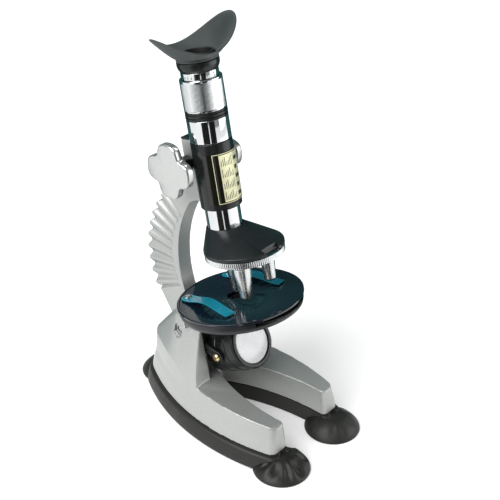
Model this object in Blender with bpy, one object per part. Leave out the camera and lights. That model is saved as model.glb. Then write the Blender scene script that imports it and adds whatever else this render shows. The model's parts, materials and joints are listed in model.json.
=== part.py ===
"""A child's zoom microscope, built as the separate pieces that it comes apart into.

Units are metres, with +Z up. The object stands on its three suction feet at z = 0, its
legs and its lens turret face -Y, and its plane of symmetry is x = 0. Everything on the
arm is drawn in the column frame: x across, v rearwards and w up along the optical axis,
with w = 0 on the top of the stage. That frame leans back by COLUMN_LEAN.
"""
import math

import bmesh
import bpy
from mathutils import Vector

GAP = 0.0003  # between pieces that touch

# Base, in the frame of the whole object
HALF_WIDTH = 0.0425
WIDEST_Y = -0.0205
SIDE_RADIUS = 0.165
NOSE_RADIUS = 0.022
LEG_END_Y = -0.0675
LEG_CORNER = 0.004
OPENING_HALF_WIDTH = 0.0205
OPENING_WIDEST_Y = -0.0565
OPENING_SIDE_RADIUS = 0.160
OPENING_APEX_RADIUS = 0.005
SHELL_BOTTOM = 0.0135
SHELL_WALL = 0.0025
SHELL_DRAFT = 0.0045
LEG_END_DRAFT = 0.0020
LEG_TOP = 0.0332
LEG_INNER_TOP = 0.0328
LEG_END_TOP = 0.0310
RIDGE_REAR_TOP = 0.0450
TRAY_BOTTOM = 0.0010
TRAY_TOP = SHELL_BOTTOM - GAP
TRAY_LEDGE = 0.0015
TRAY_FLARE = 0.0045
TRAY_WALL = 0.0022

# Suction feet
FOOT_RADIUS = 0.0199
FOOT_DOME_TOP = 0.0104
FOOT_STUD_RADIUS = 0.0035
FOOT_STUD_OFFSET = 0.0080
FRONT_FOOT = (0.0284, -0.0686)
REAR_FOOT_Y = 0.0685

# Hinge tower on the base and the arm's tilt joint
HINGE_Y = 0.0335
HINGE_Z = 0.0630
BOLT_RADIUS = 0.0025
BOLT_HOLE_RADIUS = 0.00258
TOWER_FLOOR = 0.0300
TOWER_FRONT_Y = 0.0022
TOWER_TOP = 0.0745
RECESS_HALF_WIDTH = 0.0220
RECESS_FLOOR = 0.0325
RECESS_BACK_Y = 0.0248
EAR_RADIUS = 0.0088
SLOT_HALF_WIDTH = 0.0064
SLOT_FLOOR = 0.0450

# Column frame: where the optical axis meets the top of the stage
COLUMN_LEAN = math.radians(11.03)
COLUMN_ORIGIN = Vector((0, -0.0034, 0.0994))

# Arm, in the column frame
ARM_HALF_WIDTH = 0.0060
ARM_INNER_ARC = (-0.0371, 0.0084, 0.0843)  # centre v, centre w, radius
ARM_RIB_ARC = (0.0037, 0.0122, 0.0744)
FIRST_RIB_ANGLE = 49.4
RIB_PITCH_ANGLE = 7.72
RIB_COUNT = 9
RIB_DEPTH = 0.0022
KNUCKLE_RADIUS = 0.0088
HEAD_TOP = 0.1113
HEAD_BOTTOM = 0.0685
HEAD_REAR = 0.0220

# Stage
STAGE_RADIUS = 0.0440
STAGE_CENTRE_V = -0.0031
TABLE_THICKNESS = 0.0022
PAN_RADIUS = 0.0432
PAN_BOTTOM = -0.0085
PAN_WALL = 0.0020
LIGHT_HOLE_RADIUS = 0.0070
STAGE_SCREW_V = 0.0180
SCREW_HOLE_RADIUS = 0.0016
BRACKET_SCREW_W = -0.0155
WHEEL_RADIUS = 0.0275
WHEEL_PIVOT_V = -0.0210
WHEEL_TOP = -0.0034
WHEEL_THICKNESS = 0.0014
WHEEL_HOLE_RADII = (0.0055, 0.0043, 0.0032, 0.0022, 0.0013)
CLIP_PIVOT = (0.0208, 0.0270)
CLIP_TIP = (0.0262, -0.0185)
CLIP_ARCH = 0.0034
CLIP_THICKNESS = 0.0006
BRACKET_TOP = PAN_BOTTOM - GAP
BRACKET_BOTTOM = -0.0125

# Lamp, which turns in a fork; its own frame has +Z through the mirror
LAMP_V = 0.0079
LAMP_W = -0.0413
LAMP_TURN = math.radians(71.2)
DRUM_RADIUS = 0.0190
DRUM_NECK_RADIUS = 0.0184
DRUM_FRONT = 0.0146
DRUM_REAR = -0.0155
FORK_INNER = 0.0193
FORK_OUTER = 0.0213

# Focus drive
SHAFT_V = 0.0180
SHAFT_W = 0.0957
SHAFT_RADIUS = 0.0015
PINION_PITCH_RADIUS = 0.0035
PINION_TEETH = 12
TOOTH_HALF_LENGTH = 0.0027
GROOVE_HALF_WIDTH = 0.0032
ADDENDUM = 0.00045
DEDENDUM = 0.00070
KNOB_RADIUS = 0.0190
KNOB_NOTCH = 0.0050
KNOB_INNER = 0.0205
KNOB_OUTER = 0.0262
KNOB_TURN = math.radians(8.6)

# Tube, radii and heights along the column
TUBE_RADIUS = 0.0119
SLEEVE_RADIUS = 0.0139
SLEEVE_BOTTOM = 0.0665
SLEEVE_TOP = 0.1118
LABEL_BOTTOM = 0.0710
LABEL_TOP = 0.1050
LABEL_HALF_ANGLE = 75
UPPER_TUBE_TOP = 0.1270
INDEX_RING_TOP = 0.1322
ZOOM_RING_TOP = 0.1530
BAND_TOP = 0.1575
NECK_TOP = 0.1640
BARREL_RADIUS = 0.0116
BARREL_BORE = 0.0100
BARREL_TOP = 0.1690
CAM_START = 0.1360
CAM_TRAVEL = 0.0120
CAM_SWEEP = math.radians(120)
CAM_PIN_RADIUS = 0.0009

# Turret
TURRET_V = -0.0145
TURRET_RADIUS = 0.0270
TURRET_BOTTOM = 0.0325
TURRET_TOP = 0.0380
OBJECTIVES = (
    # name, turn from the optical axis, length, root radius, tip radius
    ("high", 0.0, 0.0297, 0.0052, 0.0020),
    ("mid", 120.0, 0.0250, 0.0062, 0.0036),
    ("low", 240.0, 0.0220, 0.0052, 0.0038),
)

# Eyecup: a saddle-shaped rim, high at its two wings
EYECUP_RIM_RADIUS = 0.0275
EYECUP_RIM_MEAN = 0.1787
EYECUP_WING_RISE = 0.0069
EYECUP_RIGHT_RISE = 0.0031
EYECUP_TURN = math.radians(-19.1)
EYECUP_THICKNESS = 0.0014


def clear_scene():
    for thing in list(bpy.data.objects):
        bpy.data.objects.remove(thing)


def look(name, colour, roughness, metallic=0.0, transmission=0.0):
    """A Principled material."""
    made = bpy.data.materials.new(name)
    made.use_nodes = True
    shader = made.node_tree.nodes["Principled BSDF"]
    shader.inputs["Base Color"].default_value = (*colour, 1)
    shader.inputs["Roughness"].default_value = roughness
    shader.inputs["Metallic"].default_value = metallic
    shader.inputs["Transmission Weight"].default_value = transmission
    made.diffuse_color = (*colour, 1)
    return made


def frame(name, parent=None, location=(0, 0, 0), turn_x=0.0):
    """An empty that carries pieces, such as one on a joint's axis."""
    empty = bpy.data.objects.new(name, None)
    empty.parent = parent
    empty.location = location
    empty.rotation_euler = (turn_x, 0, 0)
    bpy.context.scene.collection.objects.link(empty)
    return empty


def piece(name, bm, material, parent=None, location=(0, 0, 0), rotation=(0, 0, 0)):
    """An object from a closed bmesh, with its faces pointing out."""
    bmesh.ops.remove_doubles(bm, verts=bm.verts, dist=1e-6)
    bmesh.ops.recalc_face_normals(bm, faces=bm.faces)
    mesh = bpy.data.meshes.new(name)
    bm.to_mesh(mesh)
    bm.free()
    mesh.shade_smooth()
    mesh.set_sharp_from_angle(angle=math.radians(35))
    made = bpy.data.objects.new(name, mesh)
    if material:
        mesh.materials.append(material)
    made.parent = parent
    made.location = location
    made.rotation_euler = rotation
    bpy.context.scene.collection.objects.link(made)
    return made


def turned(name, profile, material, parent=None, location=(0, 0, 0), rotation=(0, 0, 0), steps=20):
    """A closed outline of (radius, height) points, spun about the local Z axis."""
    bm = bmesh.new()
    corners = [bm.verts.new((radius, 0, height)) for radius, height in profile]
    edges = []
    for first, second in zip(corners, corners[1:] + corners[:1]):
        if first.co.x > 0 or second.co.x > 0:
            edges.append(bm.edges.new((first, second)))
    bmesh.ops.spin(
        bm, geom=corners + edges, cent=(0, 0, 0), axis=(0, 0, 1), angle=2 * math.pi, steps=steps
    )
    return piece(name, bm, material, parent, location, rotation)


def tube(name, outer, inner, low, high, material, parent, location=(0, 0, 0), steps=20):
    profile = [(inner, low), (outer, low), (outer, high), (inner, high)]
    return turned(name, profile, material, parent, location, steps=steps)


def rod(name, radius, low, high, material=None, parent=None, location=(0, 0, 0),
        rotation=(0, 0, 0), steps=12):
    profile = [(0, low), (radius, low), (radius, high), (0, high)]
    return turned(name, profile, material, parent, location, rotation, steps)


def prism(name, outline, low, high, material=None, parent=None, along="X"):
    """A flat outline pushed from low to high along X, over (y, z), or along Z, over (x, y)."""
    bm = bmesh.new()
    if along == "X":
        corners = [bm.verts.new((low, a, b)) for a, b in outline]
        push = Vector((high - low, 0, 0))
    else:
        corners = [bm.verts.new((a, b, low)) for a, b in outline]
        push = Vector((0, 0, high - low))
    face = bm.faces.new(corners)
    pushed = bmesh.ops.extrude_face_region(bm, geom=[face], use_keep_orig=True)
    moved = [item for item in pushed["geom"] if isinstance(item, bmesh.types.BMVert)]
    bmesh.ops.translate(bm, verts=moved, vec=push)
    return piece(name, bm, material, parent)


def box(name, low, high, material=None, parent=None):
    outline = [(low[0], low[1]), (high[0], low[1]), (high[0], high[1]), (low[0], high[1])]
    return prism(name, outline, low[2], high[2], material, parent, along="Z")


def loft(name, rings, material=None, parent=None):
    """Rings of the same number of points, bridged in turn and closed at both ends."""
    bm = bmesh.new()
    rows = [[bm.verts.new(point) for point in ring] for ring in rings]
    for row, following in zip(rows, rows[1:]):
        for i in range(len(row)):
            j = (i + 1) % len(row)
            bm.faces.new((row[i], row[j], following[j], following[i]))
    bm.faces.new(rows[0])
    bm.faces.new(rows[-1])
    bmesh.ops.triangulate(bm, faces=bm.faces)
    return piece(name, bm, material, parent)


def hull(name, points, material=None, parent=None):
    bm = bmesh.new()
    corners = [bm.verts.new(point) for point in points]
    made = bmesh.ops.convex_hull(bm, input=corners, use_existing_faces=False)
    bmesh.ops.delete(bm, geom=list({*made["geom_interior"], *made["geom_unused"]}), context="VERTS")
    return piece(name, bm, material, parent)


def combine(target, others, operation):
    for other in others:
        other.hide_render = True
        other.display_type = "WIRE"
        step = target.modifiers.new(other.name, "BOOLEAN")
        step.operation = operation
        step.solver = "EXACT"
        step.object = other
    return target


def cut(target, *cutters):
    return combine(target, cutters, "DIFFERENCE")


def join(target, *others):
    return combine(target, others, "UNION")


def arc(centre_a, centre_b, radius, start, end, steps):
    """Points along an arc, with the angles in degrees."""
    points = []
    for i in range(steps + 1):
        angle = math.radians(start + (end - start) * i / steps)
        points.append((centre_a + radius * math.cos(angle), centre_b + radius * math.sin(angle)))
    return points


def circle(centre_x, centre_y, radius, height, steps=32):
    turns = [2 * math.pi * i / steps for i in range(steps)]
    return [
        (centre_x + radius * math.cos(turn), centre_y + radius * math.sin(turn), height)
        for turn in turns
    ]


# Base --------------------------------------------------------------------------------


def half_outline(half_width, widest_y, side_radius, nose_radius, growth, end_y):
    """One side of the base, from the leg's end to the middle of the rear.

    A long side arc runs into a small nose arc. Growth moves both outwards.
    """
    side_x = half_width - side_radius
    nose_y = widest_y + math.sqrt((side_radius - nose_radius) ** 2 - side_x ** 2)
    meeting = math.atan2(nose_y - widest_y, -side_x)
    start = math.asin((end_y - widest_y) / (side_radius + growth))
    points = []
    for share in [0, 0.015, 0.050] + [0.050 + 0.95 * i / 7 for i in range(1, 8)]:
        angle = start + (meeting - start) * share
        x = side_x + (side_radius + growth) * math.cos(angle)
        y = widest_y + (side_radius + growth) * math.sin(angle)
        points.append((x, y))
    for i in range(1, 6):
        angle = meeting + (math.pi / 2 - meeting) * i / 5
        x = (nose_radius + growth) * math.cos(angle)
        y = nose_y + (nose_radius + growth) * math.sin(angle)
        points.append((x, y))
    return points


def corner_pull(y, end_y, corner):
    """How far a rounded corner at the leg's end pulls the side in."""
    short = min(corner, corner - (y - end_y))
    return corner - math.sqrt(corner ** 2 - short ** 2) if short > 0 else 0.0


def ridge_height(y):
    """The base's outer top edge: level along the legs, and rising towards the rear."""
    along = min(1.0, max(0.0, (y - TOWER_FRONT_Y) / 0.060))
    rise = (RIDGE_REAR_TOP - LEG_TOP - 0.0025) * (1 - (1 - along) ** 1.6)
    leg_slope = 0.0025 * min(1.0, (y - LEG_END_Y) / (TOWER_FRONT_Y - LEG_END_Y))
    bevel = max(0.0, 1 - (y - LEG_END_Y) / 0.006)
    return LEG_TOP + leg_slope + rise - (LEG_TOP - LEG_END_TOP) * bevel


def horseshoe(name, low, high, wall, material=None):
    """The base's ring section along its path, seen from above as a horseshoe.

    low and high give (height, growth of the outer side, growth of the opening, growth of
    the leg's end); a height of None follows the ridge. wall moves every side in.
    """
    outer_dims = (HALF_WIDTH, WIDEST_Y, SIDE_RADIUS, NOSE_RADIUS)
    inner_dims = (OPENING_HALF_WIDTH, OPENING_WIDEST_Y, OPENING_SIDE_RADIUS, OPENING_APEX_RADIUS)
    sides = []
    for level in (low, high):
        end_y = LEG_END_Y - level[3] + wall
        for dims, growth, inward in ((outer_dims, level[1] - wall, -1), (inner_dims, level[2] + wall, 1)):
            sides.append([
                (x + inward * corner_pull(y, end_y, LEG_CORNER - wall), y)
                for x, y in half_outline(*dims, growth, end_y)
            ])
    stations = []
    for outer_low, inner_low, outer_high, inner_high in zip(*sides):
        outer_top = inner_top = high[0]
        if high[0] is None:
            outer_top = ridge_height(outer_high[1]) - wall
            inner_top = min(LEG_INNER_TOP - wall, outer_top)
        stations.append([
            (*outer_low, low[0]), (*outer_high, outer_top), (*inner_high, inner_top), (*inner_low, low[0]),
        ])
    mirrored = [[(-x, y, z) for x, y, z in station] for station in stations[-2::-1]]
    return loft(name, stations + mirrored, material)


def tower():
    """The hump that carries the hinge: cheeks outside, ears for the bolt and a slot between."""
    dims = (HALF_WIDTH, WIDEST_Y, SIDE_RADIUS, NOSE_RADIUS)
    edge = half_outline(*dims, -SHELL_DRAFT - 0.0003, LEG_END_Y)
    ridge = [(x, y) for x, y in edge if y > TOWER_FRONT_Y + 0.001]
    corners = [(0.0366, TOWER_FRONT_Y, 0.0355)]
    corners += [(x, y, ridge_height(y) - 0.0002) for x, y in ridge]
    corners += [(x, y, TOWER_FLOOR) for x, y in ridge] + [(0.0366, TOWER_FRONT_Y, TOWER_FLOOR)]
    corners += [(0.0352, 0.0040, 0.0454), (0.0318, 0.0062, 0.0552)]
    corners += [(0.0243, 0.0100, TOWER_TOP), (0.0165, 0.0400, 0.0735), (0.0100, 0.0470, 0.0705)]
    body = hull("tower", corners + [(-x, y, z) for x, y, z in corners])
    opening = half_outline(
        OPENING_HALF_WIDTH, OPENING_WIDEST_Y, OPENING_SIDE_RADIUS, OPENING_APEX_RADIUS,
        0.0006, LEG_END_Y,
    )
    opening += [(-x, y) for x, y in opening[-2::-1]]
    recess = [
        (-0.050, RECESS_FLOOR), (RECESS_BACK_Y, RECESS_FLOOR),
        *arc(HINGE_Y, HINGE_Z, EAR_RADIUS, 180, 90, 6), (HINGE_Y, 0.100), (-0.050, 0.100),
    ]
    slot = [(RECESS_BACK_Y - 0.002, SLOT_FLOOR), (0.090, SLOT_FLOOR), (0.090, 0.100),
            (RECESS_BACK_Y - 0.002, 0.100)]
    return cut(
        body,
        prism("tower_opening", opening, 0, 0.060, along="Z"),
        prism("tower_recess", recess, -RECESS_HALF_WIDTH, RECESS_HALF_WIDTH),
        prism("tower_slot", slot, -SLOT_HALF_WIDTH, SLOT_HALF_WIDTH),
    )


def foot_cup(clearance=0.0):
    """The outer side of a suction cup, from its rim up, grown by a clearance."""
    points = [
        (FOOT_RADIUS, 0.0012), (0.0186, 0.0040), (0.0158, 0.0070), (0.0115, 0.0092),
        (0.0065, FOOT_DOME_TOP), (0, FOOT_DOME_TOP),
    ]
    return [(radius + clearance * (radius > 0), height + clearance) for radius, height in points]


def build_foot(looks, name, shell, tray, x, y):
    """A suction cup, held by a stud and button that snap through the tray's roof."""
    inwards = -math.copysign(FOOT_STUD_OFFSET, y)
    hollow = [(0, 0.0045), (0.0100, 0.0036), (0.0165, 0.0015), (0.0188, 0), (FOOT_RADIUS, 0)]
    foot = turned(name, hollow + foot_cup(), looks["foot"], None, (x, y, 0), steps=20)
    stud = [
        (0, 0.0080), (FOOT_STUD_RADIUS, 0.0080), (FOOT_STUD_RADIUS, SHELL_BOTTOM),
        (0.0048, SHELL_BOTTOM), (0.0044, 0.0158), (0, 0.0158),
    ]
    place = (x, y + inwards, 0)
    join(foot, turned(name + "_stud", stud, None, None, place, steps=14))
    room = [(0, -0.002), (FOOT_RADIUS + GAP, -0.002)] + foot_cup(GAP)
    cut(
        tray,
        turned(name + "_room", room, None, None, (x, y, 0), steps=20),
        rod(name + "_stud_hole", FOOT_STUD_RADIUS + GAP, 0.0050, 0.0200, None, None, place, steps=14),
    )
    cut(shell, rod(name + "_button_room", 0.0054, 0.0120, 0.0170, None, None, place, steps=14))


def build_tray_screw(looks, name, shell, tray, x, y, boss_top):
    """A screw up through the tray into a boss inside the shell."""
    place = (x, y, 0)
    join(shell, rod(name + "_boss", 0.0036, SHELL_BOTTOM + 0.0002, boss_top, None, None, place, steps=14))
    cut(shell, rod(name + "_boss_hole", 0.0017, 0.0100, 0.0260, None, None, place, steps=14))
    cut(tray, rod(name + "_tray_hole", 0.0017, 0.0050, 0.0200, None, None, place, steps=14))
    turned(name, [
        (0, 0.0089), (0.0026, 0.0089), (0.0030, 0.0096), (0.0030, TRAY_TOP - TRAY_WALL - GAP),
        (0.0014, TRAY_TOP - TRAY_WALL - GAP), (0.0014, 0.0235), (0.0005, 0.0250), (0, 0.0250),
    ], looks["steel"], None, place, steps=14)


def build_base(looks):
    shell_low = (SHELL_BOTTOM, 0, 0, 0)
    shell_high = (None, -SHELL_DRAFT, 0.0010, -LEG_END_DRAFT)
    shell = horseshoe("base_shell", shell_low, shell_high, 0, looks["silver"])
    hollow_low = (SHELL_BOTTOM - 0.001, 0, 0, 0)
    hollow = horseshoe("shell_hollow", hollow_low, shell_high, SHELL_WALL)
    join(shell, tower())
    cut(shell, hollow)
    across = (0, math.radians(90), 0)
    hinge = (0, HINGE_Y, HINGE_Z)
    cut(
        shell,
        rod("bolt_hole", BOLT_HOLE_RADIUS, -0.0190, 0.0400, None, None, hinge, across, 20),
        rod("bolt_head_pocket", 0.0052, 0.0182, 0.0400, None, None, hinge, across, 20),
        rod("nut_pocket", 0.0056, -0.0400, -0.0165, None, None, hinge, across, 6),
    )
    bolt = [
        (0, -0.0186), (BOLT_RADIUS, -0.0186), (BOLT_RADIUS, 0.0185), (0.0046, 0.0185),
        (0.0046, 0.0205), (0.0036, 0.0213), (0, 0.0213),
    ]
    turned("arm_pivot_bolt", bolt, looks["steel"], None, hinge, across, 20)
    nut = [
        (BOLT_RADIUS + 0.0007, -0.0188), (0.0050, -0.0188), (0.0050, -0.0168),
        (BOLT_RADIUS + 0.0007, -0.0168),
    ]
    turned("pivot_nut", nut, looks["steel"], None, hinge, across, 6)

    tray_low = (TRAY_BOTTOM, TRAY_FLARE, 0, TRAY_FLARE)
    tray_high = (TRAY_TOP, TRAY_LEDGE, 0, TRAY_LEDGE)
    tray = horseshoe("base_tray", tray_low, tray_high, 0, looks["tray"])
    hollow_low = (TRAY_BOTTOM - 0.001, TRAY_FLARE, 0, TRAY_FLARE)
    hollow_high = (TRAY_TOP - TRAY_WALL, TRAY_LEDGE, 0, TRAY_LEDGE)
    cut(tray, horseshoe("tray_hollow", hollow_low, hollow_high, TRAY_WALL))
    for side, name in ((-1, "left"), (1, "right")):
        build_foot(looks, "front_foot_" + name, shell, tray, side * FRONT_FOOT[0], FRONT_FOOT[1])
        build_tray_screw(looks, "tray_screw_" + name, shell, tray, side * 0.0305, -0.0380, 0.0316)
    build_foot(looks, "rear_foot", shell, tray, 0, REAR_FOOT_Y)
    build_tray_screw(looks, "tray_screw_rear", shell, tray, 0, 0.0400, SLOT_FLOOR - 0.0010)


# Arm ---------------------------------------------------------------------------------


def arm_outline():
    centre_v, centre_w, radius = ARM_RIB_ARC
    outline = [(0.0120, HEAD_BOTTOM), (0.0120, HEAD_TOP), (HEAD_REAR, HEAD_TOP)]
    outline += [(HEAD_REAR, 0.0970), (0.0252, 0.0885), (0.0325, 0.0800), (0.0430, 0.0752)]
    steps = 4
    for i in range(-steps // 2, steps * (RIB_COUNT - 1) + steps // 2 + 1):
        angle = math.radians(FIRST_RIB_ANGLE - RIB_PITCH_ANGLE * i / steps)
        reach = radius - RIB_DEPTH * math.sin(math.pi * i / steps) ** 2
        outline.append((centre_v + reach * math.cos(angle), centre_w + reach * math.sin(angle)))
    outline += [(0.0712, -0.0105), (0.0648, -0.0262), (0.0600, -0.0340)]
    knuckle_v, knuckle_w = to_column(HINGE_Y, HINGE_Z)
    outline += arc(knuckle_v, knuckle_w, KNUCKLE_RADIUS, -80, -210, 12)
    outline += [(0.0455, -0.0090)]
    centre_v, centre_w, radius = ARM_INNER_ARC
    outline += arc(centre_v, centre_w, radius, -7.4, 43.6, 14)
    return outline + [(0.0185, HEAD_BOTTOM)]


def to_column(y, z):
    """The (v, w) place of a point on the plane of symmetry."""
    across = y - COLUMN_ORIGIN.y
    up = z - COLUMN_ORIGIN.z
    lean_cos = math.cos(COLUMN_LEAN)
    lean_sin = math.sin(COLUMN_LEAN)
    return across * lean_cos - up * lean_sin, across * lean_sin + up * lean_cos


def build_arm(looks, column):
    arm = prism(
        "arm_frame", arm_outline(), -ARM_HALF_WIDTH, ARM_HALF_WIDTH, looks["silver"], column
    )
    across = (0, math.radians(90), 0)
    knuckle = (0, *to_column(HINGE_Y, HINGE_Z))
    shaft = (0, SHAFT_V, SHAFT_W)
    cut(
        arm,
        rod("sleeve_saddle", SLEEVE_RADIUS + GAP, 0.060, 0.120, None, column, steps=24),
        box("rack_groove", (-GROOVE_HALF_WIDTH, 0.0100, 0.0600), (GROOVE_HALF_WIDTH, 0.0162, 0.1200),
            None, column),
        turned("pinion_pocket", [
            (0, -0.0100), (0.0033, -0.0100), (0.0033, -0.0030), (0.0046, -0.0030),
            (0.0046, 0.0030), (0.0033, 0.0030), (0.0033, 0.0100), (0, 0.0100),
        ], None, column, shaft, across, 20),
        rod("knuckle_hole", BOLT_HOLE_RADIUS, -0.010, 0.010, None, column, knuckle, across, 20),
        rod("bracket_screw_hole", SCREW_HOLE_RADIUS, 0.0400, 0.0560, None, column, (0, 0, BRACKET_SCREW_W),
            (math.radians(-90), 0, 0), 12),
    )
    cover = prism(
        "gear_cover", [(0.0120, HEAD_TOP + GAP), (HEAD_REAR, HEAD_TOP + GAP),
                       (HEAD_REAR, HEAD_TOP + 0.0016), (0.0120, HEAD_TOP + 0.0016)],
        -ARM_HALF_WIDTH, ARM_HALF_WIDTH, looks["black"], column,
    )
    cut(
        cover,
        rod("cover_saddle", SLEEVE_RADIUS + GAP, 0.100, 0.120, None, column, steps=24),
        box("cover_groove", (-GROOVE_HALF_WIDTH, 0.0100, 0.1000), (GROOVE_HALF_WIDTH, 0.0163, 0.1200),
            None, column),
    )
    for side, name in ((-1, "left"), (1, "right")):
        bush = [
            (SHAFT_RADIUS + 0.0001, 0.0034), (0.0030, 0.0034), (0.0030, 0.0063),
            (0.0052, 0.0063), (0.0052, 0.0140), (SHAFT_RADIUS + 0.0001, 0.0140),
        ]
        turn = (0, math.radians(90 * side), 0)
        turned("shaft_bush_" + name, bush, looks["black"], column, shaft, turn, 20)


def build_stage(looks, column):
    centre = (0, STAGE_CENTRE_V, 0)
    table = turned("stage_table", [
        (0, -TABLE_THICKNESS), (0.0430, -TABLE_THICKNESS), (STAGE_RADIUS, -0.0014),
        (STAGE_RADIUS, -0.0004), (0.0436, 0), (0, 0),
    ], looks["stage"], column, centre, steps=32)
    pan = turned("stage_pan", [
        (0, PAN_BOTTOM), (0.0422, PAN_BOTTOM), (PAN_RADIUS, -0.0075),
        (PAN_RADIUS, -TABLE_THICKNESS - GAP), (PAN_RADIUS - PAN_WALL, -TABLE_THICKNESS - GAP),
        (PAN_RADIUS - PAN_WALL, PAN_BOTTOM + PAN_WALL), (0, PAN_BOTTOM + PAN_WALL),
    ], looks["stage"], column, centre, steps=32)
    bracket = prism("stage_bracket", [
        (0.0020, BRACKET_BOTTOM), (0.0340, BRACKET_BOTTOM), (0.0340, -0.0200), (0.0378, -0.0200),
        (0.0451, -0.0090), (0.0451, BRACKET_TOP), (0.0020, BRACKET_TOP),
    ], -ARM_HALF_WIDTH, ARM_HALF_WIDTH, looks["black"], column)
    join(bracket, hull("stage_pad", [
        *circle(0, 0, 0.0120, BRACKET_BOTTOM + 0.0001, 20), *circle(0, 0, 0.0120, BRACKET_TOP - 0.0001, 20),
        *circle(0, 0.0100, 0.0090, BRACKET_BOTTOM + 0.0001, 20),
        *circle(0, 0.0100, 0.0090, BRACKET_TOP - 0.0001, 20),
    ], None, column))
    for target in (table, pan, bracket):
        hole = rod(target.name + "_light_hole", LIGHT_HOLE_RADIUS, -0.020, 0.002, None, column, steps=18)
        cut(target, hole)

    slot_low = WHEEL_TOP - WHEEL_THICKNESS - GAP
    cut(pan, box("wheel_slot", (-0.0248, -0.0600, slot_low), (0.0248, -0.0300, 0.0), None, column))
    pivot = (0, WHEEL_PIVOT_V, 0)
    wheel = tube(
        "aperture_wheel", WHEEL_RADIUS, 0.0017, WHEEL_TOP - WHEEL_THICKNESS, WHEEL_TOP,
        looks["black"], column, pivot, 28,
    )
    for i, radius in enumerate(WHEEL_HOLE_RADII):
        turn = math.pi / 2 + 2 * math.pi * i / len(WHEEL_HOLE_RADII)
        reach = -WHEEL_PIVOT_V
        place = (reach * math.cos(turn), WHEEL_PIVOT_V + reach * math.sin(turn), 0)
        cut(wheel, rod(f"aperture_{i}", radius, -0.010, 0.001, None, column, place, steps=10))
    turned("wheel_pivot_screw", [
        (0, -0.0103), (0.0028, -0.0103), (0.0028, PAN_BOTTOM - GAP), (0.0015, PAN_BOTTOM - GAP),
        (0.0015, -0.0026), (0, -0.0026),
    ], looks["steel"], column, pivot, steps=12)
    cut(pan, rod("wheel_pivot_hole", 0.0018, -0.020, 0, None, column, pivot))

    place = (0, STAGE_SCREW_V, 0)
    turned("stage_screw", [
        (0, BRACKET_BOTTOM - 0.0018), (0.0026, BRACKET_BOTTOM - 0.0018),
        (0.0026, BRACKET_BOTTOM - GAP), (0.0013, BRACKET_BOTTOM - GAP), (0.0013, -0.0012), (0, -0.0012),
    ], looks["steel"], column, place, steps=10)
    for target in (bracket, pan, table):
        name = target.name + "_screw_hole"
        cut(target, rod(name, SCREW_HOLE_RADIUS, -0.016, -0.0009, None, column, place, steps=12))

    cut(bracket, rod(
        "bracket_through_hole", SCREW_HOLE_RADIUS, 0.020, 0.050, None, column,
        (0, 0, BRACKET_SCREW_W), (math.radians(-90), 0, 0), 12,
    ))
    for side, name in ((-1, "left"), (1, "right")):
        build_clip(looks, column, table, side, name)


def build_clip(looks, column, table, side, name):
    """A springy strip that turns about its rivet and presses down at its tip."""
    pivot = Vector((side * CLIP_PIVOT[0], CLIP_PIVOT[1], 0))
    tip = Vector((side * CLIP_TIP[0], CLIP_TIP[1], 0))
    swivel = frame(f"{name}_clip_axis", column, pivot)
    length = (tip - pivot).length
    forward = (tip - pivot).normalized()
    across = Vector((-forward.y, forward.x, 0))
    rings = []
    steps = 12
    for i in range(-1, steps + 1):
        share = max(0.0, i / steps)
        reach = length * share if i >= 0 else -0.0040
        half = 0.0047 - 0.0010 * share if i >= 0 else 0.0034
        height = GAP + CLIP_ARCH * math.sin(math.pi * share) ** 2
        centre = forward * reach
        rings.append([
            centre - across * half + Vector((0, 0, height)),
            centre + across * half + Vector((0, 0, height)),
            centre + across * half + Vector((0, 0, height + CLIP_THICKNESS)),
            centre - across * half + Vector((0, 0, height + CLIP_THICKNESS)),
        ])
    clip = loft(f"{name}_clip", rings, looks["clip"], swivel)
    cut(clip, rod(f"{name}_clip_hole", 0.0018, -0.002, 0.004, None, swivel))
    turned(f"clip_rivet_{name}", [
        (0, -0.0016), (0.0014, -0.0016), (0.0014, 0.0012), (0.0027, 0.0012), (0.0024, 0.0020),
        (0.0012, 0.0024), (0, 0.0024),
    ], looks["chrome"], column, pivot, steps=12)
    cut(table, rod(f"{name}_rivet_hole", 0.0017, -0.0019, 0.002, None, column, pivot, steps=12))


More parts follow.
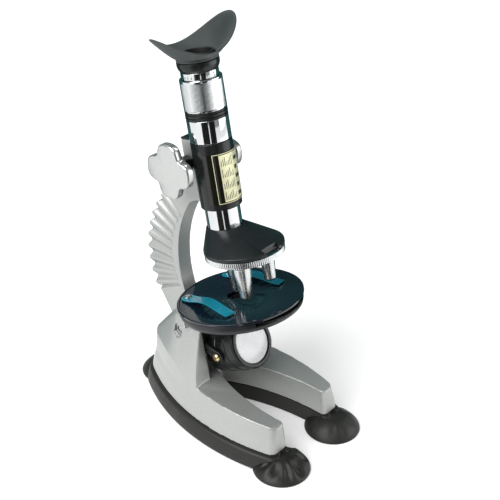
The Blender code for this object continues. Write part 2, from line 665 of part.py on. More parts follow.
def build_lamp(looks, column):
    strap = [
        (0.0338, -0.0290), (0.0338, -0.0336), (0.0312, -0.0345), (0.0120, -0.0426),
        *arc(LAMP_V, LAMP_W, 0.0046, -20, -250, 12), (0.0312, -0.0290),
    ]
    fork = prism("lamp_fork", strap, FORK_INNER, FORK_OUTER, looks["black"], column)
    other = prism("fork_left_strap", strap, -FORK_OUTER, -FORK_INNER, None, column)
    bar = box("fork_bar", (-FORK_OUTER + 0.0002, 0.0316, -0.0334),
              (FORK_OUTER - 0.0002, 0.0336, -0.0292), None, column)
    tongue = box("fork_tongue", (-0.0058, 0.0310, -0.0325), (0.0058, 0.0334, -0.0128), None, column)
    join(fork, bar, other, tongue)
    across = (0, math.radians(90), 0)
    pivot = (0, LAMP_V, LAMP_W)
    cut(
        fork,
        rod("fork_pivot_hole", 0.0015, -0.030, 0.030, None, column, pivot, across),
        rod("tongue_hole", SCREW_HOLE_RADIUS, 0.020, 0.040, None, column, (0, 0, BRACKET_SCREW_W),
            (math.radians(-90), 0, 0), 12),
    )
    turned("bracket_screw", [
        (0, 0.0290), (0.0026, 0.0290), (0.0026, 0.0307), (0.0013, 0.0307), (0.0013, 0.0520),
        (0, 0.0520),
    ], looks["steel"], column, (0, 0, BRACKET_SCREW_W), (math.radians(-90), 0, 0), 12)

    axis = frame("lamp_axis", column, pivot, LAMP_TURN)
    drum = turned("lamp_drum", [
        (0.0164, DRUM_FRONT), (DRUM_NECK_RADIUS, DRUM_FRONT), (DRUM_NECK_RADIUS, 0.0070),
        (DRUM_RADIUS, 0.0070), (DRUM_RADIUS, -0.0070), (DRUM_NECK_RADIUS, -0.0070),
        (DRUM_NECK_RADIUS, -0.0140), (0.0170, DRUM_REAR), (0.0090, DRUM_REAR),
        (0.0090, -0.0135), (0.0164, -0.0135),
    ], looks["black"], axis, steps=24)
    cut(
        drum,
        rod("drum_screw_holes", 0.0015, -0.030, 0.030, None, axis, (0, 0, 0), across),
        box("switch_slot", (-0.0011, 0.0150, -0.0132), (0.0011, 0.0200, -0.0076), None, axis),
    )
    turned("lamp_bezel", [
        (0.0151, DRUM_FRONT + GAP), (0.0151, 0.0165), (0.0178, 0.0165), (0.0186, 0.0157),
        (0.0186, DRUM_FRONT + GAP),
    ], looks["black"], axis, steps=24)
    rod("mirror", 0.0148, DRUM_FRONT + GAP, 0.0159, looks["mirror"], axis, steps=24)
    turned("lamp_lens", [
        (0, -0.0138), (0.0087, -0.0138), (0.0087, -0.0153), (0.0060, -0.0162), (0, -0.0167),
    ], looks["glass"], axis, steps=18)
    turned("bulb", [
        (0, -0.0050), (0.0040, -0.0050), (0.0040, -0.0072), (0.0026, -0.0072), (0.0029, -0.0092),
        (0.0022, -0.0114), (0, -0.0123),
    ], looks["glass"], axis, steps=12)
    rod("battery_cell", 0.0125, -0.0005, 0.0070, looks["steel"], axis, steps=18)
    for side, name in ((-1, "left"), (1, "right")):
        turned("lamp_screw_" + name, [
            (0, 0.0170), (0.0012, 0.0170), (0.0012, FORK_OUTER + GAP), (0.0030, FORK_OUTER + GAP),
            (0.0030, 0.0224), (0.0020, 0.0231), (0, 0.0231),
        ], looks["brass"], axis, (0, 0, 0), (0, math.radians(90 * side), 0), 16)
    switch = box("lamp_switch", (-0.0008, 0.0155, -0.0128), (0.0008, 0.0192, -0.0106), looks["black"], axis)
    join(
        switch,
        box("switch_grip", (-0.0024, 0.0187, -0.0130), (0.0024, 0.0202, -0.0096), None, axis),
        box("switch_foot", (-0.0018, 0.0150, -0.0125), (0.0018, 0.0158, -0.0104), None, axis),
    )


# Focus drive -------------------------------------------------------------------------


def tooth_corners(pitch, root, tip):
    """Half widths of a tooth at its root and tip, with room left beside each tooth."""
    half = 0.215 * pitch
    slope = math.tan(math.radians(22))
    return half + root * slope, half - tip * slope


def build_focus(looks, column):
    axis = frame("focus_axis", column, (0, SHAFT_V, SHAFT_W))
    pitch = 2 * math.pi * PINION_PITCH_RADIUS / PINION_TEETH
    root_half, tip_half = tooth_corners(pitch, DEDENDUM, ADDENDUM)
    root_radius = PINION_PITCH_RADIUS - DEDENDUM
    tip_radius = PINION_PITCH_RADIUS + ADDENDUM
    outline = []
    for i in range(PINION_TEETH):
        turn = math.pi + 2 * math.pi * (i + 0.5) / PINION_TEETH
        for half, radius in (
            (-root_half, root_radius), (-tip_half, tip_radius),
            (tip_half, tip_radius), (root_half, root_radius),
        ):
            angle = turn + half / radius
            outline.append((radius * math.cos(angle), radius * math.sin(angle)))
    shaft = prism("pinion_shaft", outline, -TOOTH_HALF_LENGTH, TOOTH_HALF_LENGTH, looks["brass"], axis)
    across = (0, math.radians(90), 0)
    join(shaft, rod("shaft_rod", SHAFT_RADIUS, -0.0235, 0.0235, None, axis, (0, 0, 0), across))

    points = 32
    for side, name in ((-1, "left"), (1, "right")):
        lobes = []
        for i in range(points):
            angle = 2 * math.pi * i / points
            dip = (0.5 - 0.5 * math.cos(4 * (angle - KNOB_TURN))) ** 2.4
            reach = KNOB_RADIUS - KNOB_NOTCH * dip
            lobes.append((reach * math.cos(angle), reach * math.sin(angle)))
        low, high = sorted((side * KNOB_INNER, side * KNOB_OUTER))
        knob = prism("focus_knob_" + name, lobes, low, high, looks["knob"], axis)
        turn = (0, math.radians(90 * side), 0)
        collar = [(0, 0.0150), (0.0088, 0.0150), (0.0100, 0.0162), (0.0100, 0.0210), (0, 0.0210)]
        join(knob, turned("collar_" + name, collar, None, axis, (0, 0, 0), turn, 24))
        cut(knob, rod("knob_bore_" + name, SHAFT_RADIUS + GAP, 0.010, 0.024, None, axis, (0, 0, 0), turn))

    teeth_low = -9
    teeth_high = 3
    face = SHAFT_V - PINION_PITCH_RADIUS
    outline = [(0.0123, SHAFT_W + (teeth_high + 0.6) * pitch),
               (0.0123, SHAFT_W + (teeth_low - 0.6) * pitch),
               (face - DEDENDUM, SHAFT_W + (teeth_low - 0.6) * pitch)]
    for i in range(teeth_low, teeth_high + 1):
        middle = SHAFT_W + i * pitch
        outline += [
            (face - DEDENDUM, middle - root_half), (face + ADDENDUM, middle - tip_half),
            (face + ADDENDUM, middle + tip_half), (face - DEDENDUM, middle + root_half),
        ]
    outline.append((face - DEDENDUM, SHAFT_W + (teeth_high + 0.6) * pitch))
    prism("rack", outline, -TOOTH_HALF_LENGTH, TOOTH_HALF_LENGTH, looks["brass"], column)
    return outline[1][1], outline[0][1]


# Tube and eyepiece -------------------------------------------------------------------


def curved_plate(name, inner, outer, half_angle, low, high, material, parent, steps=16):
    """A plate bent round the tube, centred on its front."""
    rings = []
    for i in range(steps + 1):
        angle = -math.pi / 2 + math.radians(half_angle) * (2 * i / steps - 1)
        out = Vector((math.cos(angle), math.sin(angle), 0))
        rings.append([
            out * inner + Vector((0, 0, low)), out * outer + Vector((0, 0, low)),
            out * outer + Vector((0, 0, high)), out * inner + Vector((0, 0, high)),
        ])
    return loft(name, rings, material, parent)


def build_tube(looks, column, rack_low, rack_high):
    tube("lower_tube", TUBE_RADIUS, 0.0106, 0.0435, 0.1116, looks["chrome"], column)
    sleeve = tube(
        "body_sleeve", SLEEVE_RADIUS, TUBE_RADIUS + GAP, SLEEVE_BOTTOM, SLEEVE_TOP, looks["black"],
        column, steps=24,
    )
    cut(sleeve, box("rack_window", (-0.0030, 0.0080, rack_low - GAP), (0.0030, 0.0200, rack_high + GAP),
                    None, column))
    curved_plate(
        "sleeve_label", SLEEVE_RADIUS + 0.0002, SLEEVE_RADIUS + 0.0005, LABEL_HALF_ANGLE,
        LABEL_BOTTOM, LABEL_TOP,
        looks["label"], column,
    )
    turned("upper_tube", [
        (0.0119, SLEEVE_TOP + GAP), (0.0138, SLEEVE_TOP + GAP), (0.0138, UPPER_TUBE_TOP),
        (0.0119, UPPER_TUBE_TOP),
    ], looks["chrome"], column, steps=24)
    turned("index_ring", [
        (0.0119, UPPER_TUBE_TOP + GAP), (0.0139, UPPER_TUBE_TOP + GAP), (0.0139, 0.1290),
        (0.0134, 0.1296), (0.0139, 0.1302), (0.0139, INDEX_RING_TOP), (0.0119, INDEX_RING_TOP),
    ], looks["black"], column, steps=24)
    barrel = turned("eyepiece_barrel", [
        (BARREL_BORE, SLEEVE_TOP + GAP), (BARREL_RADIUS, SLEEVE_TOP + GAP),
        (BARREL_RADIUS, ZOOM_RING_TOP + GAP), (0.0123, ZOOM_RING_TOP + GAP), (0.0123, BAND_TOP),
        (BARREL_RADIUS, BAND_TOP), (BARREL_RADIUS, BARREL_TOP), (BARREL_BORE, BARREL_TOP),
    ], looks["chrome"], column, steps=24)
    cut(barrel, box(
        "cam_slot", (-0.0013, 0.0050, CAM_START - 0.0013),
        (0.0013, 0.0200, CAM_START + CAM_TRAVEL + 0.0013), None, column,
    ))
    turned("neck_ring", [
        (BARREL_RADIUS + GAP, BAND_TOP + GAP), (0.0122, BAND_TOP + GAP), (0.0138, 0.1612),
        (0.0138, NECK_TOP), (BARREL_RADIUS + GAP, NECK_TOP),
    ], looks["black"], column, steps=24)
    turned("eye_lens", [
        (0, 0.1590), (0.0090, 0.1598), (0.0097, 0.1598), (0.0097, 0.1616), (0.0070, 0.1634),
        (0, 0.1642),
    ], looks["glass"], column, steps=18)
    build_zoom(looks, column)
    build_eyecup(looks, column)


def build_zoom(looks, column):
    ring = turned("zoom_ring", [
        (0.0119, INDEX_RING_TOP + GAP), (0.0139, INDEX_RING_TOP + GAP), (0.0139, 0.1524),
        (0.0135, ZOOM_RING_TOP), (0.0119, ZOOM_RING_TOP),
    ], looks["chrome"], column, steps=28)
    pin_angle = math.pi / 2
    margin = math.radians(8)
    half_height = 0.0013
    rings = []
    steps = 14
    for i in range(steps + 1):
        ring_turn = -margin + (CAM_SWEEP + 2 * margin) * i / steps
        angle = pin_angle - ring_turn
        height = CAM_START + CAM_TRAVEL * ring_turn / CAM_SWEEP
        out = Vector((math.cos(angle), math.sin(angle), 0))
        rings.append([
            out * 0.0110 + Vector((0, 0, height - half_height)),
            out * 0.0130 + Vector((0, 0, height - half_height)),
            out * 0.0130 + Vector((0, 0, height + half_height)),
            out * 0.0110 + Vector((0, 0, height + half_height)),
        ])
    cut(ring, loft("cam_groove", rings, None, column))
    carrier = tube(
        "lens_carrier", 0.00985, 0.0080, CAM_START - 0.0040, CAM_START + 0.0040, looks["black"],
        column, steps=24,
    )
    along_v = (math.radians(-90), 0, 0)
    join(carrier, rod(
        "cam_pin", CAM_PIN_RADIUS, 0.0090, 0.0127, None, column, (0, 0, CAM_START), along_v, 12,
    ))
    turned("zoom_lens", [
        (0, CAM_START - 0.0030), (0.0050, CAM_START - 0.0026), (0.0077, CAM_START - 0.0012),
        (0.0077, CAM_START + 0.0012), (0.0050, CAM_START + 0.0026), (0, CAM_START + 0.0030),
    ], looks["glass"], column, steps=18)


def eyecup_rim(turn):
    """(radius, height) of the rim in one direction about the tube."""
    wing = math.cos(2 * (turn - EYECUP_TURN))
    right = math.cos(turn - EYECUP_TURN)
    height = EYECUP_RIM_MEAN + EYECUP_WING_RISE * wing + EYECUP_RIGHT_RISE * right
    return EYECUP_RIM_RADIUS + 0.0006 * wing, height


def build_eyecup(looks, column):
    """A rubber cup: a ring that grips the barrel, opening into a saddle-shaped flare."""
    base_low = NECK_TOP + GAP
    flare_low = 0.1665
    steps = 24
    rings = []
    for i in range(steps):
        turn = 2 * math.pi * i / steps
        rim_radius, rim_height = eyecup_rim(turn)
        section = [(BARREL_RADIUS + GAP, base_low), (0.0138, base_low)]
        for share in (0.0, 0.35, 0.7, 1.0):
            radius = 0.0138 + (rim_radius - 0.0138) * share
            section.append((radius, flare_low + (rim_height - flare_low) * share ** 1.15))
        for share in (1.0, 0.7, 0.35):
            radius = 0.0124 + (rim_radius - EYECUP_THICKNESS - 0.0124) * share
            inner_low = flare_low + 0.0012
            section.append((radius, inner_low + (rim_height - inner_low) * share ** 1.15))
        section.append((BARREL_RADIUS + GAP, flare_low + 0.0012))
        rings.append([
            (radius * math.cos(turn), radius * math.sin(turn), height) for radius, height in section
        ])
    bm = bmesh.new()
    rows = [[bm.verts.new(point) for point in ring] for ring in rings]
    for row, following in zip(rows, rows[1:] + rows[:1]):
        for i in range(len(row)):
            j = (i + 1) % len(row)
            bm.faces.new((row[i], row[j], following[j], following[i]))
    piece("eyecup", bm, looks["rubber"], column)


# Turret ------------------------------------------------------------------------------


def build_turret(looks, column):
    rim = TURRET_RADIUS + 0.0003
    cover = hull("turret_cover", [
        *circle(0, TURRET_V, rim, TURRET_TOP + GAP, 28),
        *circle(0, TURRET_V, rim - 0.0005, 0.0408, 28),
        *circle(0, 0, 0.0148, TURRET_TOP + GAP, 16),
        *circle(0, 0, 0.0130, 0.0520, 16),
    ], looks["black"], column)
    axis = frame("turret_axis", column, (0, TURRET_V, 0))
    cut(
        cover,
        rod("tube_socket", TUBE_RADIUS + GAP, 0.0432, 0.060, None, column, steps=22),
        rod("cover_light_hole", 0.0065, 0.030, 0.050, None, column, steps=16),
        box("index_notch", (-0.0075, -0.0600, 0.030), (0.0075, -0.0368, 0.060), None, column),
        rod("turret_screw_hole", 0.0018, 0.030, 0.0450, None, axis),
    )
    disc = turned("turret_disc", [
        (0.0023, TURRET_BOTTOM), (0.0255, TURRET_BOTTOM), (TURRET_RADIUS, 0.0335),
        (TURRET_RADIUS, TURRET_TOP - 0.0006), (0.0264, TURRET_TOP), (0.0023, TURRET_TOP),
    ], looks["chrome"], axis, steps=24)
    turned("turret_screw", [
        (0, 0.0300), (0.0030, 0.0303), (0.0044, 0.0312), (0.0044, TURRET_BOTTOM - GAP),
        (0.0019, TURRET_BOTTOM - GAP), (0.0019, TURRET_TOP), (0.0015, TURRET_TOP + 0.0002),
        (0.0015, 0.0445), (0, 0.0445),
    ], looks["chrome"], axis, steps=14)
    for name, turn, length, root, tip in OBJECTIVES:
        angle = math.pi / 2 + math.radians(turn)
        place = (-TURRET_V * math.cos(angle), -TURRET_V * math.sin(angle), 0)
        top = TURRET_BOTTOM - GAP
        bottom = TURRET_BOTTOM - length
        turned("objective_" + name, [
            (0.0030, 0.0374), (0.0041, 0.0374), (0.0041, top), (root + 0.0006, top),
            (root + 0.0006, top - 0.0016), (root, top - 0.0022), (tip + 0.0004, bottom + 0.0012),
            (tip, bottom), (0.0011, bottom), (0.0011, bottom + 0.0010), (0.0016, bottom + 0.0040),
            (0.0030, top),
        ], looks["satin"], axis, place, steps=14)
        turned("objective_lens_" + name, [
            (0, bottom + 0.0022), (0.0010, bottom + 0.0024), (0.0010, bottom + 0.0036),
            (0, bottom + 0.0042),
        ], looks["glass"], axis, place, steps=8)
        cut(disc, rod("disc_hole_" + name, 0.0044, 0.030, 0.040, None, axis, place, steps=12))


def main():
    clear_scene()
    looks = {
        "silver": look("silver_paint", (0.66, 0.69, 0.67), 0.35, 0.6),
        "tray": look("tray_plastic", (0.035, 0.036, 0.036), 0.5),
        "foot": look("foot_rubber", (0.020, 0.020, 0.022), 0.45),
        "black": look("black_plastic", (0.015, 0.017, 0.018), 0.4),
        "stage": look("stage_gloss", (0.006, 0.009, 0.014), 0.12),
        "clip": look("clip_plastic", (0.0, 0.22, 0.30), 0.2, 0.0, 0.3),
        "chrome": look("chrome_plate", (0.82, 0.84, 0.84), 0.08, 1.0),
        "satin": look("satin_plate", (0.72, 0.73, 0.72), 0.28, 1.0),
        "knob": look("knob_plate", (0.74, 0.76, 0.75), 0.25, 0.9),
        "label": look("label_foil", (0.72, 0.70, 0.32), 0.35, 0.2),
        "steel": look("zinc_steel", (0.55, 0.55, 0.56), 0.35, 1.0),
        "brass": look("brass", (0.75, 0.58, 0.25), 0.25, 1.0),
        "mirror": look("mirror_face", (0.92, 0.93, 0.94), 0.05, 1.0),
        "glass": look("clear_lens", (0.9, 0.95, 0.95), 0.02, 0.0, 0.95),
        "rubber": look("eyecup_rubber", (0.045, 0.055, 0.052), 0.6),
    }
    build_base(looks)
    hinge = frame("arm_hinge", None, (0, HINGE_Y, HINGE_Z))
    column = frame(
        "column", hinge, COLUMN_ORIGIN - Vector((0, HINGE_Y, HINGE_Z)), -COLUMN_LEAN
    )
    build_arm(looks, column)
    build_stage(looks, column)
    build_lamp(looks, column)
    rack_low, rack_high = build_focus(looks, column)
    build_tube(looks, column, rack_low, rack_high)
    build_turret(looks, column)


main()
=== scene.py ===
"""The looks of a child's zoom microscope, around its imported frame.

Units are metres, with +Z up. Pieces on the arm are made in the column frame: x across,
v rearwards and w up along the optical axis, with w = 0 on the top of the stage.
"""
import json
import math

import bmesh
import bpy
from mathutils import Matrix, Vector
from mathutils import noise

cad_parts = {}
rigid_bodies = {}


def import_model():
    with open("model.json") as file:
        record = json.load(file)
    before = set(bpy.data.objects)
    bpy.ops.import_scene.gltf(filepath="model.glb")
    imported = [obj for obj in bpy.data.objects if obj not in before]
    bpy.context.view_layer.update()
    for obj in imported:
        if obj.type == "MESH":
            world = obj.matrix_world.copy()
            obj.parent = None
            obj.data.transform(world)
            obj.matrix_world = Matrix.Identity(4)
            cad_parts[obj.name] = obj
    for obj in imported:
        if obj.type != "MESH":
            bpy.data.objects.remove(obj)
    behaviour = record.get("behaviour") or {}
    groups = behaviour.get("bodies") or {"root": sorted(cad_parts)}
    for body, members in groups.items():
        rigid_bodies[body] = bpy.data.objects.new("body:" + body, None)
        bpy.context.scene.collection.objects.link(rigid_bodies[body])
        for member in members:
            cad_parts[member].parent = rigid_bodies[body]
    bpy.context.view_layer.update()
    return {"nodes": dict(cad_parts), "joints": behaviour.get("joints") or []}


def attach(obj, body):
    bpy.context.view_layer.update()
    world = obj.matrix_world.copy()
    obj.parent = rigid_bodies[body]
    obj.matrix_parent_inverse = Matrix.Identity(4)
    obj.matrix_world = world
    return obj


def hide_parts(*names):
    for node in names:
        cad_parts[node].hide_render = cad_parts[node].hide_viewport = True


for thing in list(bpy.data.objects):
    bpy.data.objects.remove(thing)

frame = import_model()
JOINTS = {joint["name"]: joint for joint in frame["joints"]}

GAP = 0.0003
RING_STEPS = 128
MERGE_DISTANCE = 4e-6

# The column frame comes from the zoom ring's joint, which lies on the optical axis
ZOOM_JOINT_W = 0.142
TUBE_AXIS = Vector(JOINTS["zoom_turn"]["axis"]).normalized()
COLUMN_ORIGIN = Vector(JOINTS["zoom_turn"]["pos_m"]) - TUBE_AXIS * ZOOM_JOINT_W
COLUMN_LEAN = math.atan2(TUBE_AXIS.y, TUBE_AXIS.z)
COLUMN = Matrix.Translation(COLUMN_ORIGIN) @ Matrix.Rotation(-COLUMN_LEAN, 4, "X")
HINGE = Vector(JOINTS["arm_tilt"]["pos_m"])

# Base, as in the frame. A side is (half width, y of the widest place, side radius, nose radius)
OUTSIDE = (0.0425, -0.0205, 0.165, 0.022)
OPENING = (0.0205, -0.0565, 0.160, 0.005)
SIDE_STEPS = 26
NOSE_STEPS = 14
LEG_END_Y = -0.0675
SHELL_BOTTOM = 0.0136
LEG_TOP = 0.0332
LEG_INNER_TOP = 0.0328
RIDGE_REAR_TOP = 0.0450
TOWER_FRONT_Y = 0.0022
TOWER_TOP = 0.0745
RECESS_HALF_WIDTH = 0.0220
RECESS_FLOOR = 0.0325
RECESS_BACK_Y = 0.0248
EAR_RADIUS = 0.0088
SLOT_HALF_WIDTH = 0.0064
SLOT_FLOOR = 0.0450
FRONT_FOOT = (0.0284, -0.0686)
REAR_FOOT_Y = 0.0685
FOOT_RADIUS = 0.0199
FOOT_DOME = [
    (0.0, 0.0112), (0.0060, 0.0111), (0.0085, 0.0106), (0.0106, 0.0097), (0.0126, 0.0085),
    (0.0145, 0.0071), (0.0163, 0.0055), (0.0178, 0.0039), (0.0190, 0.0024), (0.0197, 0.0013),
]

# Arm
ARM_HALF_WIDTH = 0.0060
ARM_INNER_ARC = (-0.0371, 0.0084, 0.0843)  # centre v, centre w, radius
ARM_RIB_ARC = (0.0037, 0.0122, 0.0744)
RIB_BORDER_ARC = (-0.0015, 0.0154, 0.0545)
FIRST_RIB_ANGLE = 49.4
RIB_PITCH_ANGLE = 7.72
RIB_COUNT = 9
RIB_DEPTH = 0.0022
RIB_VALLEY = 0.0026
RIB_END_STEP = 0.0011
HEAD_TOP = 0.1113
HEAD_BOTTOM = 0.0685
HEAD_REAR = 0.0220
SADDLE_RADIUS = 0.0142
RACK_GROOVE_HALF = 0.0032
BOLT_BORE_RADIUS = 0.0026

# Stage, lamp, turret, focus drive and eyecup
STAGE_CENTRE_V = -0.0031
STAGE_RADIUS = 0.0440
LIGHT_HOLE_RADIUS = 0.0070
LAMP_BORE_RADIUS = 0.0015
CLIP_PIVOT = (0.0208, 0.0270)
CLIP_TIP = (0.0262, -0.0185)
TURRET_V = -0.0145
TURRET_RADIUS = 0.0270
SHAFT_V = 0.0180
SHAFT_W = 0.0957
KNOB_RADIUS = 0.0190
KNOB_NOTCH = 0.0050
KNOB_INNER = 0.0205
KNOB_OUTER = 0.0262
KNOB_TURN = math.radians(8.6)
EYECUP_RIM_RADIUS = 0.0275
EYECUP_RIM_MEAN = 0.1787
EYECUP_WING_RISE = 0.0069
EYECUP_RIGHT_RISE = 0.0031
EYECUP_TURN = math.radians(-19.1)
EYECUP_FLARE_W = 0.1662
EYECUP_FLARE_POWER = 1.25

# Label: heights along the tube, angles in degrees round it from its front, layers (inner, outer radius)
LABEL_PRINT_LOW = 0.0712
LABEL_PRINT_HIGH = 0.1048
LABEL_OUTLINE_LEFT = -50
LABEL_OUTLINE_RIGHT = 66
FOIL_LAYER = (0.01435, 0.01446)
PRINT_LAYER = (0.01444, 0.01451)

# Camera and studio. Powers are in watts, angles in degrees, and azimuths from +X
CAMERA_PLACE = Vector((-0.43905, -0.39784, 0.48086))
CAMERA_TARGET = Vector((0.01607, -0.00142, 0.12631))
CAMERA_LENS_MM = 73.63
CAMERA_AZIMUTH = 222.9
KEY_STRENGTH = 3.8
KEY_SPREAD = 50
KEY_AZIMUTH = 174
KEY_ELEVATION = 42
FILL_POWER = 4.5
BACK_POWER = 2.5
WORLD_STRENGTH = 0.36
SCREEN_RADIUS = 0.22
SCREEN_HEIGHT = 0.34
SCREEN_GAP = 2.5
DOME_RADIUS = 0.5
DOME_FLOOR_RADIUS = 0.13


# Materials ---------------------------------------------------------------------------


class Surface:
    """A Principled material with a few shortcuts for its nodes."""

    def __init__(self, name, colour, roughness, metallic=0.0, **constants):
        self.material = bpy.data.materials.new(name)
        self.material.use_nodes = True
        self.nodes = self.material.node_tree.nodes
        self.links = self.material.node_tree.links
        self.shader = self.nodes["Principled BSDF"]
        self.colour = colour
        self.shader.inputs["Base Color"].default_value = (*colour, 1)
        self.shader.inputs["Roughness"].default_value = roughness
        self.shader.inputs["Metallic"].default_value = metallic
        for socket, value in constants.items():
            self.shader.inputs[socket.replace("_", " ")].default_value = value
        self.place = self.nodes.new("ShaderNodeTexCoord")

    def noise(self, scale, detail=3.0, stretch=(1, 1, 1)):
        mapping = self.nodes.new("ShaderNodeMapping")
        mapping.inputs["Scale"].default_value = stretch
        texture = self.nodes.new("ShaderNodeTexNoise")
        texture.inputs["Scale"].default_value = scale
        texture.inputs["Detail"].default_value = detail
        self.links.new(self.place.outputs["Object"], mapping.inputs["Vector"])
        self.links.new(mapping.outputs["Vector"], texture.inputs["Vector"])
        return texture.outputs["Fac"]

    def vary_colour(self, factor, low, high):
        """Shade the colour between two multiples of itself."""
        ramp = self.nodes.new("ShaderNodeValToRGB")
        ramp.color_ramp.elements[0].position = 0.3
        ramp.color_ramp.elements[1].position = 0.7
        ramp.color_ramp.elements[0].color = (*[channel * low for channel in self.colour], 1)
        ramp.color_ramp.elements[1].color = (*[min(1, channel * high) for channel in self.colour], 1)
        self.links.new(factor, ramp.inputs["Fac"])
        self.links.new(ramp.outputs["Color"], self.shader.inputs["Base Color"])

    def vary_roughness(self, factor, low, high):
        spread = self.nodes.new("ShaderNodeMapRange")
        spread.inputs["From Min"].default_value = 0.3
        spread.inputs["From Max"].default_value = 0.7
        spread.inputs["To Min"].default_value = low
        spread.inputs["To Max"].default_value = high
        self.links.new(factor, spread.inputs["Value"])
        self.links.new(spread.outputs["Result"], self.shader.inputs["Roughness"])

    def bump(self, height, distance, strength=1.0):
        bump = self.nodes.new("ShaderNodeBump")
        bump.inputs["Distance"].default_value = distance
        bump.inputs["Strength"].default_value = strength
        self.links.new(height, bump.inputs["Height"])
        self.links.new(bump.outputs["Normal"], self.shader.inputs["Normal"])


def silver_paint():
    """Satin silver enamel over a moulding: metal flake, a slight sag and a clear coat."""
    made = Surface(
        "silver_paint", (0.36, 0.37, 0.357), 0.34, 0.45, Coat_Weight=0.3, Coat_Roughness=0.2
    )
    made.vary_colour(made.noise(900, 2.0), 0.94, 1.05)
    made.vary_roughness(made.noise(60, 4.0), 0.31, 0.42)
    made.bump(made.noise(2600, 1.0), 0.00002, 0.35)
    return made.material


def moulded(name, colour, low, high, grain=1500, depth=0.00004, **constants):
    """A moulded plastic or rubber with a fine grain and slightly uneven gloss."""
    made = Surface(name, colour, low, **constants)
    made.vary_colour(made.noise(35, 4.0), 0.8, 1.25)
    made.vary_roughness(made.noise(120, 4.0), low, high)
    made.bump(made.noise(grain, 2.0), depth, 0.6)
    return made.material


def plated(name, colour, low, high, stretch=(1, 1, 1), scale=90, metallic=1.0):
    """A metal plating, with faint polishing marks in its roughness."""
    made = Surface(name, colour, low, metallic)
    made.vary_colour(made.noise(40, 3.0), 0.97, 1.03)
    made.vary_roughness(made.noise(scale, 5.0, stretch), low, high)
    made.bump(made.noise(scale * 8, 3.0, stretch), 0.000008, 0.5)
    return made.material


def clear(name, colour, roughness, **constants):
    made = Surface(name, colour, roughness, Transmission_Weight=1.0, IOR=1.49, **constants)
    made.vary_roughness(made.noise(80, 3.0), roughness, roughness + 0.03)
    return made.material


LOOKS = {
    "silver": silver_paint(),
    "base_rubber": moulded("base_rubber", (0.012, 0.012, 0.010), 0.40, 0.55, 700, 0.00008,
                           Specular_IOR_Level=0.35),
    "black": moulded("black_satin", (0.007, 0.008, 0.008), 0.20, 0.32, 1100, 0.00003,
                     Specular_IOR_Level=0.35),
    "cover": moulded("cover_satin", (0.009, 0.011, 0.012), 0.30, 0.40, 1600, Specular_IOR_Level=0.4),
    "stage": moulded(
        "stage_gloss", (0.004, 0.007, 0.014), 0.10, 0.16, 500, 0.00001, Coat_Weight=0.6,
        Coat_Roughness=0.05,
    ),
    "rubber": moulded("eyecup_rubber", (0.020, 0.026, 0.025), 0.46, 0.56, 2200, 0.00003,
                      Sheen_Weight=0.12, Sheen_Roughness=0.5),
    "clip": moulded("clip_teal", (0.003, 0.19, 0.27), 0.20, 0.30, 300, 0.00002,
                    Transmission_Weight=0.15, Coat_Weight=0.3),
    "chrome": plated("chrome_plate", (0.64, 0.66, 0.665), 0.05, 0.10),
    "satin": plated("satin_plate", (0.60, 0.62, 0.61), 0.20, 0.30, (1, 1, 12), 160),
    "knob": plated("knob_plate", (0.53, 0.54, 0.53), 0.24, 0.34, (1, 1, 1), 60, 0.85),
    "brass": plated("brass_plate", (0.78, 0.62, 0.32), 0.14, 0.24),
    "steel": plated("zinc_steel", (0.52, 0.53, 0.54), 0.28, 0.42),
    "mirror": moulded("mirror_face", (0.50, 0.51, 0.52), 0.22, 0.30, 50, 0.000002, Metallic=0.25,
                      Coat_Weight=0.3),
    "glass": clear("clear_lens", (0.93, 0.97, 0.98), 0.02),
    "label": moulded("label_foil", (0.66, 0.65, 0.42), 0.26, 0.36, 300, 0.00001, Metallic=0.3),
    "label_dark": moulded("label_band", (0.006, 0.006, 0.004), 0.10, 0.16, 300, 0.00001),
    "print": moulded("scale_print", (0.03, 0.03, 0.02), 0.4, 0.5),
    "dark_bore": moulded("dark_bore", (0.004, 0.004, 0.004), 0.5, 0.6),
    "screen": moulded("screen_cloth", (0.004, 0.004, 0.004), 0.8, 0.9),
    "teal_screen": moulded("teal_screen_cloth", (0.004, 0.02, 0.02), 0.8, 0.9,
                           Emission_Color=(0.02, 0.15, 0.16, 1), Emission_Strength=0.4),
}


# Making and placing pieces -----------------------------------------------------------


def piece(name, bm, look, body, replaces=(), place=None, crease=35):
    """A visible piece from a closed bmesh, made in the frame that place gives."""
    bmesh.ops.remove_doubles(bm, verts=bm.verts, dist=MERGE_DISTANCE)
    if place:
        bm.transform(place)
    bmesh.ops.recalc_face_normals(bm, faces=bm.faces)
    mesh = bpy.data.meshes.new(name)
    bm.to_mesh(mesh)
    bm.free()
    mesh.shade_smooth()
    mesh.set_sharp_from_angle(angle=math.radians(crease))
    made = bpy.data.objects.new(name, mesh)
    bpy.context.scene.collection.objects.link(made)
    if look:
        mesh.materials.append(LOOKS[look])
    if body:
        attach(made, body)
        if replaces:
            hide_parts(*replaces)
    return made


def spun(name, profile, look, body, replaces=(), place=None, steps=RING_STEPS):
    """A closed (radius, height) outline spun about the local Z axis."""
    bm = bmesh.new()
    corners = [bm.verts.new((max(0.0, radius), 0, height)) for radius, height in profile]
    edges = []
    for first, second in zip(corners, corners[1:] + corners[:1]):
        if first.co.x > 1e-9 or second.co.x > 1e-9:
            edges.append(bm.edges.new((first, second)))
    bmesh.ops.spin(
        bm, geom=corners + edges, cent=(0, 0, 0), axis=(0, 0, 1), angle=2 * math.pi, steps=steps
    )
    return piece(name, bm, look, body, replaces, place)


